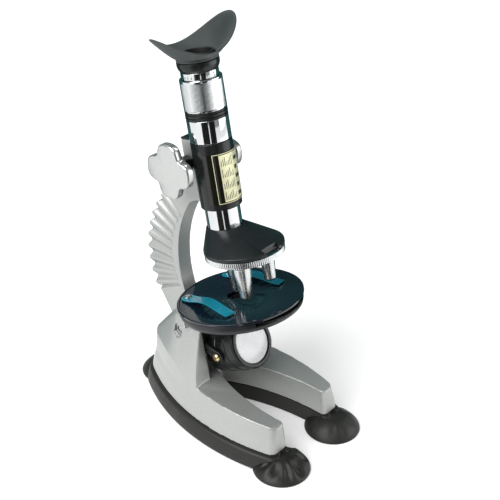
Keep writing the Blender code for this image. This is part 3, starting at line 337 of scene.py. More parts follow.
def rounded(profile, radius, steps=4):
    """The same outline, with each corner off the axis rounded as far as its sides allow."""
    points = []
    count = len(profile)
    for i, corner in enumerate(profile):
        corner = Vector(corner)
        before = Vector(profile[i - 1]) - corner
        after = Vector(profile[(i + 1) % count]) - corner
        on_axis = corner.x < 1e-9
        if on_axis or before.length < 1e-9 or after.length < 1e-9:
            points.append(tuple(corner))
            continue
        bend = before.angle(after)
        if bend > math.radians(172) or bend < math.radians(4):
            points.append(tuple(corner))
            continue
        reach = min(radius / math.tan(bend / 2), before.length * 0.45, after.length * 0.45)
        start = corner + before.normalized() * reach
        end = corner + after.normalized() * reach
        for j in range(steps + 1):
            share = j / steps
            point = start.lerp(corner, share).lerp(corner.lerp(end, share), share)
            points.append(tuple(point))
    return points


def turned(name, profile, look, body, replaces=(), place=COLUMN, radius=0.0003,
           steps=RING_STEPS):
    return spun(name, rounded(profile, radius), look, body, replaces, place, steps)


def extruded(name, outline, low, high, place=None, along="X"):
    """A helper solid with one outline, from low to high along X or Z."""
    bm = bmesh.new()
    if along == "X":
        corners = [bm.verts.new((low, a, b)) for a, b in outline]
        push = Vector((high - low, 0, 0))
    else:
        corners = [bm.verts.new((a, b, low)) for a, b in outline]
        push = Vector((0, 0, high - low))
    face = bm.faces.new(corners)
    pushed = bmesh.ops.extrude_face_region(bm, geom=[face], use_keep_orig=True)
    moved = [item for item in pushed["geom"] if isinstance(item, bmesh.types.BMVert)]
    bmesh.ops.translate(bm, verts=moved, vec=push)
    return piece(name, bm, None, None, place=place)


def cylinder(name, radius, low, high, place=COLUMN, steps=32):
    """A plain round helper along the local Z axis."""
    section = [(0, low), (radius, low), (radius, high), (0, high)]
    return spun(name, section, None, None, place=place, steps=steps)


def block(name, half_width, near, far, low, high, place=COLUMN):
    """A plain box-shaped helper, centred across."""
    outline = [(-half_width, near), (half_width, near), (half_width, far), (-half_width, far)]
    return extruded(name, outline, low, high, place, "Z")


def loft(name, rings, look=None, body=None, replaces=(), place=None, crease=35,
         closed=False):
    """Rings of the same number of points, bridged in turn."""
    bm = bmesh.new()
    rows = [[bm.verts.new(point) for point in ring] for ring in rings]
    following_rows = rows[1:] + rows[:1] if closed else rows[1:]
    for row, following in zip(rows, following_rows):
        for i in range(len(row)):
            j = (i + 1) % len(row)
            bm.faces.new((row[i], row[j], following[j], following[i]))
    if not closed:
        bm.faces.new(rows[0])
        bm.faces.new(rows[-1])
    return piece(name, bm, look, body, replaces, place, crease)


def hull(name, points, place=None):
    bm = bmesh.new()
    corners = [bm.verts.new(point) for point in points]
    made = bmesh.ops.convex_hull(bm, input=corners, use_existing_faces=False)
    bmesh.ops.delete(bm, geom=list({*made["geom_interior"], *made["geom_unused"]}), context="VERTS")
    return piece(name, bm, None, None, place=place)


def apply_modifiers(target):
    graph = bpy.context.evaluated_depsgraph_get()
    mesh = bpy.data.meshes.new_from_object(target.evaluated_get(graph))
    target.modifiers.clear()
    target.data = mesh


def combine(target, others, operation):
    """A Boolean with each helper in turn, applied, and the helpers removed."""
    for other in others:
        step = target.modifiers.new("combine", "BOOLEAN")
        step.operation = operation
        step.solver = "EXACT"
        step.object = other
        apply_modifiers(target)
        bpy.data.objects.remove(other)
    return target


def soften(target, voxel, rounds):
    """Fuse a rough solid into one even skin, and relax its edges as a casting's are."""
    remesh = target.modifiers.new("fuse", "REMESH")
    remesh.mode = "VOXEL"
    remesh.voxel_size = voxel
    smooth = target.modifiers.new("relax", "SMOOTH")
    smooth.factor = 0.5
    smooth.iterations = rounds
    apply_modifiers(target)


def dress(target, look, body, replaces=(), crease=40):
    """Finish a helper solid as a visible piece."""
    target.data.materials.clear()
    target.data.materials.append(LOOKS[look])
    target.data.shade_smooth()
    target.data.set_sharp_from_angle(angle=math.radians(crease))
    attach(target, body)
    if replaces:
        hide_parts(*replaces)


def joined(name, helpers):
    """Helper solids that don't touch, as one."""
    bm = bmesh.new()
    for helper in helpers:
        bm.from_mesh(helper.data)
        bpy.data.objects.remove(helper)
    return piece(name, bm, None, None)


def bevelled(target, width, segments=3):
    bevel = target.modifiers.new("bevel", "BEVEL")
    bevel.width = width
    bevel.segments = segments
    bevel.limit_method = "ANGLE"
    bevel.angle_limit = math.radians(30)
    bevel.harden_normals = True
    apply_modifiers(target)


def arc(centre_a, centre_b, radius, start, end, steps):
    """Points along an arc, with the angles in degrees."""
    points = []
    for i in range(steps + 1):
        angle = math.radians(start + (end - start) * i / steps)
        points.append((centre_a + radius * math.cos(angle), centre_b + radius * math.sin(angle)))
    return points


def circle(centre_x, centre_y, radius, height, steps=64):
    turns = [2 * math.pi * i / steps for i in range(steps)]
    return [
        (centre_x + radius * math.cos(turn), centre_y + radius * math.sin(turn), height)
        for turn in turns
    ]


def across(side=1):
    """Turns the local Z axis along X, to the right or the left."""
    return Matrix.Rotation(math.radians(90 * side), 4, "Y")


def hinge_axis():
    """The hinge bolt's own frame, with Z along it."""
    return Matrix.Translation(HINGE) @ across()


def at(x, v, w):
    """A frame at a place in the column frame."""
    return COLUMN @ Matrix.Translation((x, v, w))


def to_column(point):
    """The v and w of a place in the object's frame."""
    local = COLUMN.inverted() @ Vector(point)
    return local.y, local.z


# Base --------------------------------------------------------------------------------


def half_outline(half_width, widest_y, side_radius, nose_radius, growth, end_y):
    """One side of the base, from the leg's end to the middle of the rear."""
    side_x = half_width - side_radius
    nose_y = widest_y + math.sqrt((side_radius - nose_radius) ** 2 - side_x ** 2)
    meeting = math.atan2(nose_y - widest_y, -side_x)
    start = math.asin((end_y - widest_y) / (side_radius + growth))
    points = []
    shares = [0, 0.003, 0.008, 0.015, 0.025, 0.038, 0.055]
    shares += [0.055 + 0.945 * i / SIDE_STEPS for i in range(1, SIDE_STEPS + 1)]
    for share in shares:
        angle = start + (meeting - start) * share
        x = side_x + (side_radius + growth) * math.cos(angle)
        y = widest_y + (side_radius + growth) * math.sin(angle)
        points.append((x, y))
    for i in range(1, NOSE_STEPS + 1):
        angle = meeting + (math.pi / 2 - meeting) * i / NOSE_STEPS
        points.append(
            ((nose_radius + growth) * math.cos(angle), nose_y + (nose_radius + growth) * math.sin(angle))
        )
    return points


def corner_pull(y, end_y, corner):
    """How far a rounded corner at the leg's end pulls the side in."""
    short = min(corner, corner - (y - end_y))
    return corner - math.sqrt(corner ** 2 - short ** 2) if short > 0 else 0.0


def ridge_height(y):
    """The base's outer top edge: level along the legs, and rising towards the rear."""
    leg_rise, bevel_drop, bevel_length = 0.0025, 0.0022, 0.006
    along = min(1.0, max(0.0, (y - TOWER_FRONT_Y) / 0.060))
    rise = (RIDGE_REAR_TOP - LEG_TOP - leg_rise) * (1 - (1 - along) ** 1.6)
    leg_slope = leg_rise * min(1.0, (y - LEG_END_Y) / (TOWER_FRONT_Y - LEG_END_Y))
    bevel = max(0.0, 1 - (y - LEG_END_Y) / bevel_length)
    return LEG_TOP + leg_slope + rise - bevel_drop * bevel


def horseshoe(name, levels, corner):
    """The base's section along its path. A level is (height, outer growth, opening growth, end growth).

    A height of None follows the ridge.
    """
    outer_rows = []
    inner_rows = []
    for height, outer, opening, end in levels:
        end_y = LEG_END_Y - end
        outer_points = half_outline(*OUTSIDE, outer, end_y)
        inner_points = half_outline(*OPENING, opening, end_y)
        outer_row = []
        inner_row = []
        for (outer_x, outer_y), (inner_x, inner_y) in zip(outer_points, inner_points):
            top = ridge_height(outer_y) if height is None else height
            inner_top = min(LEG_INNER_TOP, top) if height is None else height
            outer_row.append((outer_x - corner_pull(outer_y, end_y, corner), outer_y, top))
            inner_row.append((inner_x + corner_pull(inner_y, end_y, corner), inner_y, inner_top))
        outer_rows.append(outer_row)
        inner_rows.append(inner_row)
    stations = [list(points) for points in zip(*outer_rows, *reversed(inner_rows))]
    mirrored = [[(-x, y, z) for x, y, z in station] for station in stations[-2::-1]]
    return loft(name, stations + mirrored)


def tower():
    """The hump behind the lamp, with its opening, its recess and the slot between its ears."""
    ridge = [(x, y) for x, y in half_outline(*OUTSIDE, -0.0047, LEG_END_Y) if y > TOWER_FRONT_Y + 0.001]
    corners = [(0.0366, TOWER_FRONT_Y, 0.0355)]
    corners += [(x, y, ridge_height(y)) for x, y in ridge]
    corners += [(x, y, 0.0280) for x, y in ridge] + [(0.0366, TOWER_FRONT_Y, 0.0280)]
    corners += [(0.0352, 0.0040, 0.0454), (0.0318, 0.0062, 0.0552)]
    corners += [(0.0243, 0.0100, TOWER_TOP), (0.0165, 0.0400, 0.0735), (0.0100, 0.0470, 0.0705)]
    hump = hull("tower", corners + [(-x, y, z) for x, y, z in corners])
    opening = half_outline(*OPENING, 0.0006, LEG_END_Y)
    opening += [(-x, y) for x, y in opening[-2::-1]]
    recess = [
        (-0.050, RECESS_FLOOR), (RECESS_BACK_Y, RECESS_FLOOR),
        *arc(HINGE.y, HINGE.z, EAR_RADIUS, 180, 90, 12), (HINGE.y, 0.100), (-0.050, 0.100),
    ]
    slot = [(RECESS_BACK_Y - 0.002, SLOT_FLOOR), (0.090, SLOT_FLOOR), (0.090, 0.100),
            (RECESS_BACK_Y - 0.002, 0.100)]
    return combine(hump, [
        extruded("opening", opening, 0.0, 0.060, along="Z"),
        extruded("recess", recess, -RECESS_HALF_WIDTH, RECESS_HALF_WIDTH),
        extruded("slot", slot, -SLOT_HALF_WIDTH, SLOT_HALF_WIDTH),
    ], "DIFFERENCE")


def base_shell():
    shell = horseshoe("base_casting", [
        (SHELL_BOTTOM, 0, 0, 0), (SHELL_BOTTOM + 0.010, -0.0021, 0.0005, -0.0010),
        (0.0290, -0.0035, 0.0008, -0.0018), (None, -0.0045, 0.0010, -0.0022),
    ], 0.0040)
    combine(shell, [tower()], "UNION")
    soften(shell, 0.00055, 7)
    combine(shell, [
        cylinder("bolt_pocket", 0.0052, 0.0182, 0.040, hinge_axis(), 48),
        cylinder("nut_pocket", 0.0056, -0.040, -0.0165, hinge_axis(), 6),
        cylinder("bolt_bore", BOLT_BORE_RADIUS, -0.020, 0.020, hinge_axis()),
    ], "DIFFERENCE")
    dress(shell, "silver", "base", ["base_shell"])


def base_tray():
    """The black rubber skirt under the shell, with a ledge round its top and room for the feet."""
    skirt = horseshoe("base_skirt", [
        (0.0010, 0.0038, 0.0, 0.0038), (0.0012, 0.0044, 0.0, 0.0044), (0.0022, 0.0045, 0.0, 0.0045),
        (0.0060, 0.0036, 0.0, 0.0038), (0.0098, 0.0025, 0.0, 0.0028), (0.0112, 0.0020, 0.0, 0.0024),
        (0.0120, 0.0012, 0.0, 0.0016), (0.0123, 0.0003, 0.0, 0.0006), (0.0133, 0.0003, 0.0, 0.0006),
        (0.0133, -0.0020, 0.0010, -0.0020),
    ], 0.0045)
    rooms = []
    for index, (x, y) in enumerate(((-FRONT_FOOT[0], FRONT_FOOT[1]), FRONT_FOOT, (0.0, REAR_FOOT_Y))):
        dome = [(radius + 0.0002, height + 0.0002) for radius, height in FOOT_DOME[1:]]
        outline = [(0, -0.001), (FOOT_RADIUS + 0.0002, -0.001), *reversed(dome), (0, dome[0][1])]
        rooms.append(spun(f"foot_room_{index}", outline, None, None, steps=72,
                          place=Matrix.Translation((x, y, 0))))
    combine(skirt, rooms, "DIFFERENCE")
    dress(skirt, "base_rubber", "base", ["base_tray"])


def foot(name, x, y, folds):
    """A bell-shaped suction foot, whose skirt is a little creased where it is pressed down."""
    outer = [*FOOT_DOME, (FOOT_RADIUS, 0.0007), (FOOT_RADIUS - 0.0002, 0.0001), (0.0194, 0.0)]
    inner = [(0.0188, 0.0), (0.0165, 0.0014), (0.0130, 0.0026), (0.0080, 0.0037), (0.0, 0.0044)]
    profile = outer + inner
    crease_from, crease_to, floor_rim = 0.4, 0.97, 0.0006
    steps = 96
    bm = bmesh.new()
    rows = []
    for i in range(steps):
        turn = 2 * math.pi * i / steps
        row = []
        for radius, height in profile:
            share = min(1.0, radius / FOOT_RADIUS)
            crease = 0.0
            if crease_from < share < crease_to and height > 0.0010:
                spot = Vector((math.cos(turn) * 2.6, math.sin(turn) * 2.6, x * 90 + share * 2.0))
                crease = folds * math.sin(math.pi * (share - crease_from) / (crease_to - crease_from))
                crease *= noise.noise(spot) + 0.6 * abs(noise.noise(spot * 2.7)) - 0.3
            reach = radius - abs(crease) * 0.4
            lift = max(height + crease, min(height, floor_rim))
            row.append((reach * math.cos(turn), reach * math.sin(turn), lift))
        rows.append([bm.verts.new(point) for point in row])
    for row, following in zip(rows, rows[1:] + rows[:1]):
        for i in range(len(profile) - 1):
            bm.faces.new((row[i], row[i + 1], following[i + 1], following[i]))
    bmesh.ops.remove_doubles(bm, verts=bm.verts, dist=1e-6)
    bmesh.ops.dissolve_degenerate(bm, dist=1e-7, edges=bm.edges)
    piece(name + "_cup", bm, "base_rubber", "base", [name],
          Matrix.Translation((x, y, 0)), 60)


def pivot_bolt():
    place = hinge_axis()
    bolt = turned("arm_pivot_bolt_turned", [
        (0, -0.0186), (0.0025, -0.0186), (0.0025, 0.0186), (0.0046, 0.0186), (0.0046, 0.0204),
        (0.0036, 0.0213), (0, 0.0213),
    ], None, None, place=place, steps=64)
    combine(bolt, [block("driver_slot", 0.006, -0.0006, 0.0006, 0.0204, 0.0230, place)], "DIFFERENCE")
    dress(bolt, "steel", "base", ["arm_pivot_bolt"])


# Arm ---------------------------------------------------------------------------------


def arm_outline():
    centre_v, centre_w, radius = ARM_RIB_ARC
    outline = [(0.0120, HEAD_BOTTOM), (0.0120, HEAD_TOP), (HEAD_REAR, HEAD_TOP)]
    outline += [(HEAD_REAR, 0.0970), (0.0252, 0.0885), (0.0325, 0.0800), (0.0430, 0.0752)]
    steps = 12
    for i in range(-steps // 2, steps * (RIB_COUNT - 1) + steps // 2 + 1):
        angle = math.radians(FIRST_RIB_ANGLE - RIB_PITCH_ANGLE * i / steps)
        reach = radius - RIB_DEPTH * math.sin(math.pi * i / steps) ** 2
        outline.append((centre_v + reach * math.cos(angle), centre_w + reach * math.sin(angle)))
    outline += [(0.0712, -0.0105), (0.0648, -0.0262), (0.0600, -0.0340)]
    knuckle_v, knuckle_w = to_column(HINGE)
    outline += arc(knuckle_v, knuckle_w, 0.0088, -80, -210, 20)
    outline += [(0.0455, -0.0090)]
    centre_v, centre_w, radius = ARM_INNER_ARC
    outline += arc(centre_v, centre_w, radius, -7.4, 43.6, 40)
    return outline + [(0.0185, HEAD_BOTTOM)]


def border_reach(angle):
    """From the ribs' centre to their inner border, along one direction."""
    centre_v, centre_w, _ = ARM_RIB_ARC
    border_v, border_w, border_radius = RIB_BORDER_ARC
    off_v, off_w = centre_v - border_v, centre_w - border_w
    along = off_v * math.cos(angle) + off_w * math.sin(angle)
    return math.sqrt(along ** 2 - off_v ** 2 - off_w ** 2 + border_radius ** 2) - along


def rib_valleys(side):
    """A cutter for the rounded valleys between the ribs, on one side of the arm."""
    centre_v, centre_w, outer_radius = ARM_RIB_ARC
    steps = 16
    shares = [j / 8 for j in range(9)]
    rings = []
    for i in range(-steps // 2, steps * (RIB_COUNT - 1) + steps // 2 + 1):
        angle = math.radians(FIRST_RIB_ANGLE - RIB_PITCH_ANGLE * i / steps)
        start = border_reach(angle)
        reaches = [start + (outer_radius + 0.003 - start) * share for share in shares]
        valley = math.sin(math.pi * i / steps) ** 2
        ring = []
        for share, reach in zip(shares, reaches):
            sink = (RIB_END_STEP + (RIB_VALLEY - RIB_END_STEP) * share) * valley
            ring.append((ARM_HALF_WIDTH + 0.00015 - sink, reach))
        ring += [(ARM_HALF_WIDTH + 0.004, reach) for reach in reversed(reaches)]
        rings.append([
            (side * x, centre_v + reach * math.cos(angle), centre_w + reach * math.sin(angle))
            for x, reach in ring
        ])
    return loft(f"rib_valleys_{side}", rings, place=COLUMN)


def arm_frame():
    arm = extruded("arm_casting", arm_outline(), -ARM_HALF_WIDTH, ARM_HALF_WIDTH, place=COLUMN)
    combine(arm, [joined("rib_valleys", [rib_valleys(-1), rib_valleys(1)])], "DIFFERENCE")
    soften(arm, 0.00042, 5)
    shaft = at(0, SHAFT_V, SHAFT_W) @ across()
    combine(arm, [
        cylinder("saddle", SADDLE_RADIUS, 0.060, 0.120, steps=96),
        block("rack_groove", RACK_GROOVE_HALF, 0.0100, 0.0162, 0.060, 0.120),
        spun("pinion_pocket", [
            (0, -0.010), (0.0033, -0.010), (0.0033, -0.003), (0.0046, -0.003), (0.0046, 0.003),
            (0.0033, 0.003), (0.0033, 0.010), (0, 0.010),
        ], None, None, place=shaft, steps=32),
        cylinder("knuckle_bore", BOLT_BORE_RADIUS, -0.010, 0.010, hinge_axis()),
    ], "DIFFERENCE")
    dress(arm, "silver", "arm", ["arm_frame"])


def arm_head():
    """The plate over the gears and the two bushes of the focus shaft."""
    cover = extruded("gear_cover_plate", [
        (0.0120, HEAD_TOP + GAP), (HEAD_REAR, HEAD_TOP + GAP), (HEAD_REAR, HEAD_TOP + 0.0016),
        (0.0120, HEAD_TOP + 0.0016),
    ], -ARM_HALF_WIDTH, ARM_HALF_WIDTH, place=COLUMN)
    combine(cover, [
        cylinder("cover_saddle", SADDLE_RADIUS, 0.10, 0.12, steps=96),
        block("cover_groove", RACK_GROOVE_HALF, 0.010, 0.0163, 0.10, 0.12),
    ], "DIFFERENCE")
    bevelled(cover, 0.0003)
    dress(cover, "black", "arm", ["gear_cover"])
    for side, name in ((-1, "left"), (1, "right")):
        turned(f"bush_{name}", [
            (0.0016, 0.0034), (0.0030, 0.0034), (0.0030, 0.0063), (0.0052, 0.0063), (0.0052, 0.0140),
            (0.0016, 0.0140),
        ], "black", "arm", [f"shaft_bush_{name}"],
            at(0, SHAFT_V, SHAFT_W) @ across(side), 0.0004, 64)


# Stage -------------------------------------------------------------------------------


def stage():
    centre = at(0, STAGE_CENTRE_V, 0)
    table = turned("stage_top", [
        (0, -0.0022), (0.0430, -0.0022), (STAGE_RADIUS, -0.0016), (STAGE_RADIUS, -0.0004),
        (0.0434, 0.0), (0.0424, 0.0), (0.0420, -0.0005), (0, -0.0005),
    ], None, None, place=centre, radius=0.0003, steps=192)
    combine(table, [cylinder("light_hole", LIGHT_HOLE_RADIUS, -0.01, 0.01, steps=96)], "DIFFERENCE")
    bevelled(table, 0.0002, 2)
    dress(table, "stage", "arm", ["stage_table"])

    pan = turned("stage_skirt", [
        (0, -0.0085), (0.0416, -0.0085), (0.0426, -0.0078), (0.0432, -0.0056), (0.0432, -0.0025),
        (0.0412, -0.0025), (0.0410, -0.0065), (0, -0.0065),
    ], None, None, place=centre, radius=0.0004, steps=192)
    combine(pan, [
        cylinder("pan_hole", LIGHT_HOLE_RADIUS, -0.02, 0.01, steps=64),
        block("wheel_slot", 0.0248, -0.060, -0.030, -0.0051, 0.001),
    ], "DIFFERENCE")
    dress(pan, "cover", "arm", ["stage_pan"])
    for side, name in ((-1, "left"), (1, "right")):
        clip(side, name)


def clip(side, name):
    """A springy teal strip, arched off the stage between its root and its tip."""
    pivot = Vector((side * CLIP_PIVOT[0], CLIP_PIVOT[1], 0))
    tip = Vector((side * CLIP_TIP[0], CLIP_TIP[1], 0))
    length = (tip - pivot).length
    forward = (tip - pivot).normalized()
    sideways = Vector((-forward.y, forward.x, 0))
    up = Vector((0, 0, 1))
    root_half, taper, rear = 0.0047, 0.0008, 0.0042
    thick, crown, edge, arch = 0.0006, 0.00066, 0.00012, 0.0034
    rings = []
    steps = 40
    for i in range(steps + 1):
        reach = -rear + (length + rear) * i / steps
        share = max(0.0, reach / length)
        half = root_half - taper * share
        if reach < 0:
            half = root_half * math.sqrt(max(0.08, 1 - (reach / rear) ** 2 * 0.75))
        height = GAP + arch * math.sin(math.pi * share) ** 2
        centre = forward * reach + Vector((0, 0, height))
        ring = []
        for x, z in ((-half, edge), (-half + edge, 0), (half - edge, 0), (half, edge),
                     (half, thick - edge), (half - edge, thick), (0, crown),
                     (-half + edge, thick), (-half, thick - edge)):
            ring.append(centre + sideways * x + up * z)
        rings.append(ring)
    strip = loft(f"clip_strip_{name}", rings, place=COLUMN @ Matrix.Translation(pivot))
    dress(strip, "clip", f"{name}_clip", [f"{name}_clip"])
    turned(f"rivet_{name}", [
        (0, -0.0016), (0.0014, -0.0016), (0.0014, 0.0012), (0.0027, 0.0012), (0.0026, 0.0018),
        (0.0019, 0.0023), (0, 0.0025),
    ], "chrome", "arm", [f"clip_rivet_{name}"], COLUMN @ Matrix.Translation(pivot), 0.0003, 48)


# Lamp --------------------------------------------------------------------------------


def lamp():
    pivot = Vector(JOINTS["lamp_flip"]["pos_m"])
    aim = Vector(JOINTS["lamp_switch_slide"]["axis"])
    turn = math.atan2(-aim.y, aim.z)
    place = Matrix.Translation(pivot) @ Matrix.Rotation(turn, 4, "X")
    drum = turned("lamp_housing", [
        (0.0164, 0.0146), (0.0184, 0.0146), (0.0184, 0.0074), (0.0190, 0.0070), (0.0190, 0.0026),
        (0.0187, 0.0022), (0.0187, -0.0022), (0.0190, -0.0026), (0.0190, -0.0070), (0.0184, -0.0074),
        (0.0184, -0.0140), (0.0170, -0.0155), (0.0090, -0.0155), (0.0090, -0.0135), (0.0164, -0.0135),
    ], None, None, place=place, radius=0.0004)
    combine(drum, [
        block("switch_slot", 0.0011, 0.0150, 0.0200, -0.0132, -0.0076, place),
        cylinder("pivot_holes", LAMP_BORE_RADIUS, -0.030, 0.030, place @ across(), 24),
    ], "DIFFERENCE")
    dress(drum, "black", "lamp", ["lamp_drum"])
    turned("lamp_front_ring", [
        (0.0151, 0.0149), (0.0151, 0.0163), (0.0156, 0.0165), (0.0174, 0.0165), (0.0184, 0.0158),
        (0.0186, 0.0150),
    ], "black", "lamp", ["lamp_bezel"], place, 0.0004)
    spun("mirror_disc", [
        (0, 0.0149), (0.0147, 0.0149), (0.0148, 0.0151), (0.0147, 0.0156), (0.0140, 0.0158),
        (0.0080, 0.01590), (0, 0.0160),
    ], "mirror", "lamp", ["mirror"], place)
    spun("lamp_window", [
        (0, -0.0138), (0.0086, -0.0138), (0.0087, -0.0153), (0.0074, -0.0159), (0.0050, -0.0164),
        (0.0025, -0.0167), (0, -0.0168),
    ], "glass", "lamp", ["lamp_lens"], place, 96)
    for side, name in ((-1, "left"), (1, "right")):
        screw = turned(f"lamp_pivot_{name}", [
            (0, 0.0170), (0.0012, 0.0170), (0.0012, 0.0216), (0.0030, 0.0216), (0.0029, 0.0223),
            (0.0022, 0.0229), (0, 0.0231),
        ], None, None, place=place @ across(side), radius=0.0003, steps=64)
        cross = []
        for index, (a, b) in enumerate(((0.0019, 0.00038), (0.00038, 0.0019))):
            cross.append(block(f"cross_{index}", a, -b, b, 0.0222, 0.0240, place @ across(side)))
        combine(screw, cross, "DIFFERENCE")
        dress(screw, "brass", "lamp", [f"lamp_screw_{name}"])


def fork():
    lamp_v, lamp_w = to_column(JOINTS["lamp_flip"]["pos_m"])
    strap = [
        (0.0338, -0.0290), (0.0338, -0.0336), (0.0312, -0.0345), (0.0120, -0.0426),
        *arc(lamp_v, lamp_w, 0.0046, -20, -250, 28), (0.0312, -0.0290),
    ]
    body = extruded("lamp_yoke", strap, 0.0193, 0.0213, place=COLUMN)
    combine(body, [
        extruded("yoke_left", strap, -0.0213, -0.0193, place=COLUMN),
        block("yoke_bar", 0.0211, 0.0316, 0.0336, -0.0334, -0.0292),
        block("yoke_tongue", 0.0058, 0.0310, 0.0334, -0.0325, -0.0128),
    ], "UNION")
    axis = at(0, lamp_v, lamp_w) @ across()
    combine(body, [cylinder("yoke_bore", LAMP_BORE_RADIUS, -0.03, 0.03, axis)], "DIFFERENCE")
    bevelled(body, 0.0004)
    dress(body, "black", "arm", ["lamp_fork"])


# Tube, turret and focus drive --------------------------------------------------------


def bent_plate(name, inner, outer, from_angle, to_angle, low, high, look, body, replaces=(),
               slot=None, steps=48):
    """A plate bent round the tube between two angles, with 0 at its front."""
    rings = []
    for i in range(steps + 1):
        angle = -math.pi / 2 + math.radians(from_angle + (to_angle - from_angle) * i / steps)
        out = Vector((math.cos(angle), math.sin(angle), 0))
        rings.append([
            out * inner + Vector((0, 0, low)), out * outer + Vector((0, 0, low)),
            out * outer + Vector((0, 0, high)), out * inner + Vector((0, 0, high)),
        ])
    return loft(name, rings, look, body, replaces, COLUMN)


def tube():
    turned("lower_tube_plated", [
        (0.0106, 0.0435), (0.0119, 0.0435), (0.0119, 0.1116), (0.0106, 0.1116),
    ], "chrome", "tube", ["lower_tube"], radius=0.0003)
    sleeve = turned("sleeve_moulding", [
        (0.0122, 0.0665), (0.0139, 0.0665), (0.0139, 0.1118), (0.0122, 0.1118),
    ], None, None, radius=0.0008)
    combine(sleeve, [block("rack_window", 0.0030, 0.0080, 0.0200, 0.0780, 0.1030)], "DIFFERENCE")
    dress(sleeve, "black", "tube", ["body_sleeve"])
    label()
    turned("upper_tube_plated", [
        (0.0119, 0.1121), (0.0138, 0.1121), (0.0138, 0.1270), (0.0119, 0.1270),
    ], "chrome", "tube", ["upper_tube"], radius=0.0003)
    turned("index_ring_grooved", [
        (0.0119, 0.1273), (0.0139, 0.1273), (0.0139, 0.1284), (0.0133, 0.1288), (0.0139, 0.1292),
        (0.0139, 0.1306), (0.0133, 0.1310), (0.0139, 0.1314), (0.0139, 0.1322), (0.0119, 0.1322),
    ], "black", "tube", ["index_ring"], radius=0.0002)
    barrel = turned("barrel_plated", [
        (0.0100, 0.1121), (0.0116, 0.1121), (0.0116, 0.1533), (0.0123, 0.1533), (0.0123, 0.1575),
        (0.0116, 0.1575), (0.0116, 0.1600), (0.0100, 0.1600),
    ], None, None, radius=0.0002)
    combine(barrel, [block("cam_slot", 0.0013, 0.0050, 0.0200, 0.1347, 0.1493)], "DIFFERENCE")
    dress(barrel, "chrome", "tube", ["eyepiece_barrel"])
    turned("barrel_throat", [
        (0.0100, 0.1601), (0.0116, 0.1601), (0.0116, 0.1690), (0.0100, 0.1690),
    ], "dark_bore", "tube", radius=0.0003)
    band_marks()
    turned("neck_collar", [
        (0.0119, 0.1578), (0.0122, 0.1578), (0.0131, 0.1592), (0.0138, 0.1612), (0.0138, 0.1640),
        (0.0119, 0.1640),
    ], "black", "tube", ["neck_ring"], radius=0.0004)
    spun("eye_lens_polished", [
        (0, 0.1590), (0.0050, 0.1592), (0.0090, 0.1598), (0.0097, 0.1598), (0.0097, 0.1616),
        (0.0080, 0.1630), (0.0050, 0.1638), (0.0025, 0.1642), (0, 0.1643),
    ], "glass", "tube", ["eye_lens"], COLUMN, 96)


def label():
    """A glossy black label with a thin pale outline and a pale gold panel of plain marks."""
    low, high = LABEL_PRINT_LOW, LABEL_PRINT_HIGH
    left, right = LABEL_OUTLINE_LEFT, LABEL_OUTLINE_RIGHT
    side_line, end_line = 1.6, 0.0004
    bent_plate("label_sheet", 0.0141, 0.0144, -75, 75, 0.0710, 0.1050, "label_dark", "tube",
               ["sleeve_label"], "label_foil", 96)
    outline = (
        ("left", left, left + side_line, low, high), ("right", right - side_line, right, low, high),
        ("bottom", left + side_line, right - side_line, low, low + end_line),
        ("top", left + side_line, right - side_line, high - end_line, high),
    )
    for name, start, end, bottom, top in outline:
        bent_plate(f"label_outline_{name}", *FOIL_LAYER, start, end, bottom, top, "label", "tube",
                   slot="label_foil", steps=40)
    bent_plate("label_panel", *FOIL_LAYER, -33, 58, 0.0722, 0.1038, "label", "tube",
               slot="label_foil", steps=64)
    stroke_pitch, stroke_width, stroke_row, stroke_length = 5.2, 1.7, 0.0076, 0.0058
    for column in range(7):
        start = -29 + column * stroke_pitch
        for row in range(4):
            bottom = 0.0734 + row * stroke_row
            length = stroke_length - 0.0011 * ((column * 3 + row * 2) % 4)
            bent_plate(f"label_stroke_{column}_{row}", *PRINT_LAYER, start, start + stroke_width, bottom,
                       bottom + length, "print", "tube", slot="label_foil", steps=3)
    block_row, block_height = 0.0060, 0.0026
    for row in range(5):
        bottom = 0.0740 + row * block_row
        bent_plate(f"label_block_{row}", *PRINT_LAYER, 12, 30 - 6 * (row % 2), bottom,
                   bottom + block_height, "print", "tube", slot="label_foil", steps=16)


def band_marks():
    """Short plain marks round the band over the zoom ring, every fifth one bigger."""
    count = 30
    for index in range(count):
        angle = -180 + index * 360 / count
        half, top = (1.6, 0.1566) if index % 5 == 0 else (0.9, 0.1556)
        bent_plate(f"band_mark_{index:02d}", 0.01225, 0.01236, angle - half, angle + half, 0.1541, top,
                   "print", "tube", slot="chrome", steps=3)


def knurled(name, profile, teeth, depth, low, high, look, body, replaces=(), place=COLUMN):
    """A turned ring whose outside is fluted between two heights."""
    steps = teeth * 4
    fluted_from = max(radius for radius, _ in profile) - 0.0012
    bm = bmesh.new()
    rows = []
    for i in range(steps):
        turn = 2 * math.pi * i / steps
        flute = depth * (0.5 - 0.5 * math.cos(teeth * turn))
        row = []
        for radius, height in profile:
            cut = flute if radius > fluted_from and low <= height <= high else 0.0
            row.append(((radius - cut) * math.cos(turn), (radius - cut) * math.sin(turn), height))
        rows.append([bm.verts.new(point) for point in row])
    for row, following in zip(rows, rows[1:] + rows[:1]):
        for i in range(len(profile)):
            j = (i + 1) % len(profile)
            bm.faces.new((row[i], row[j], following[j], following[i]))
    return piece(name, bm, look, body, replaces, place, 50)


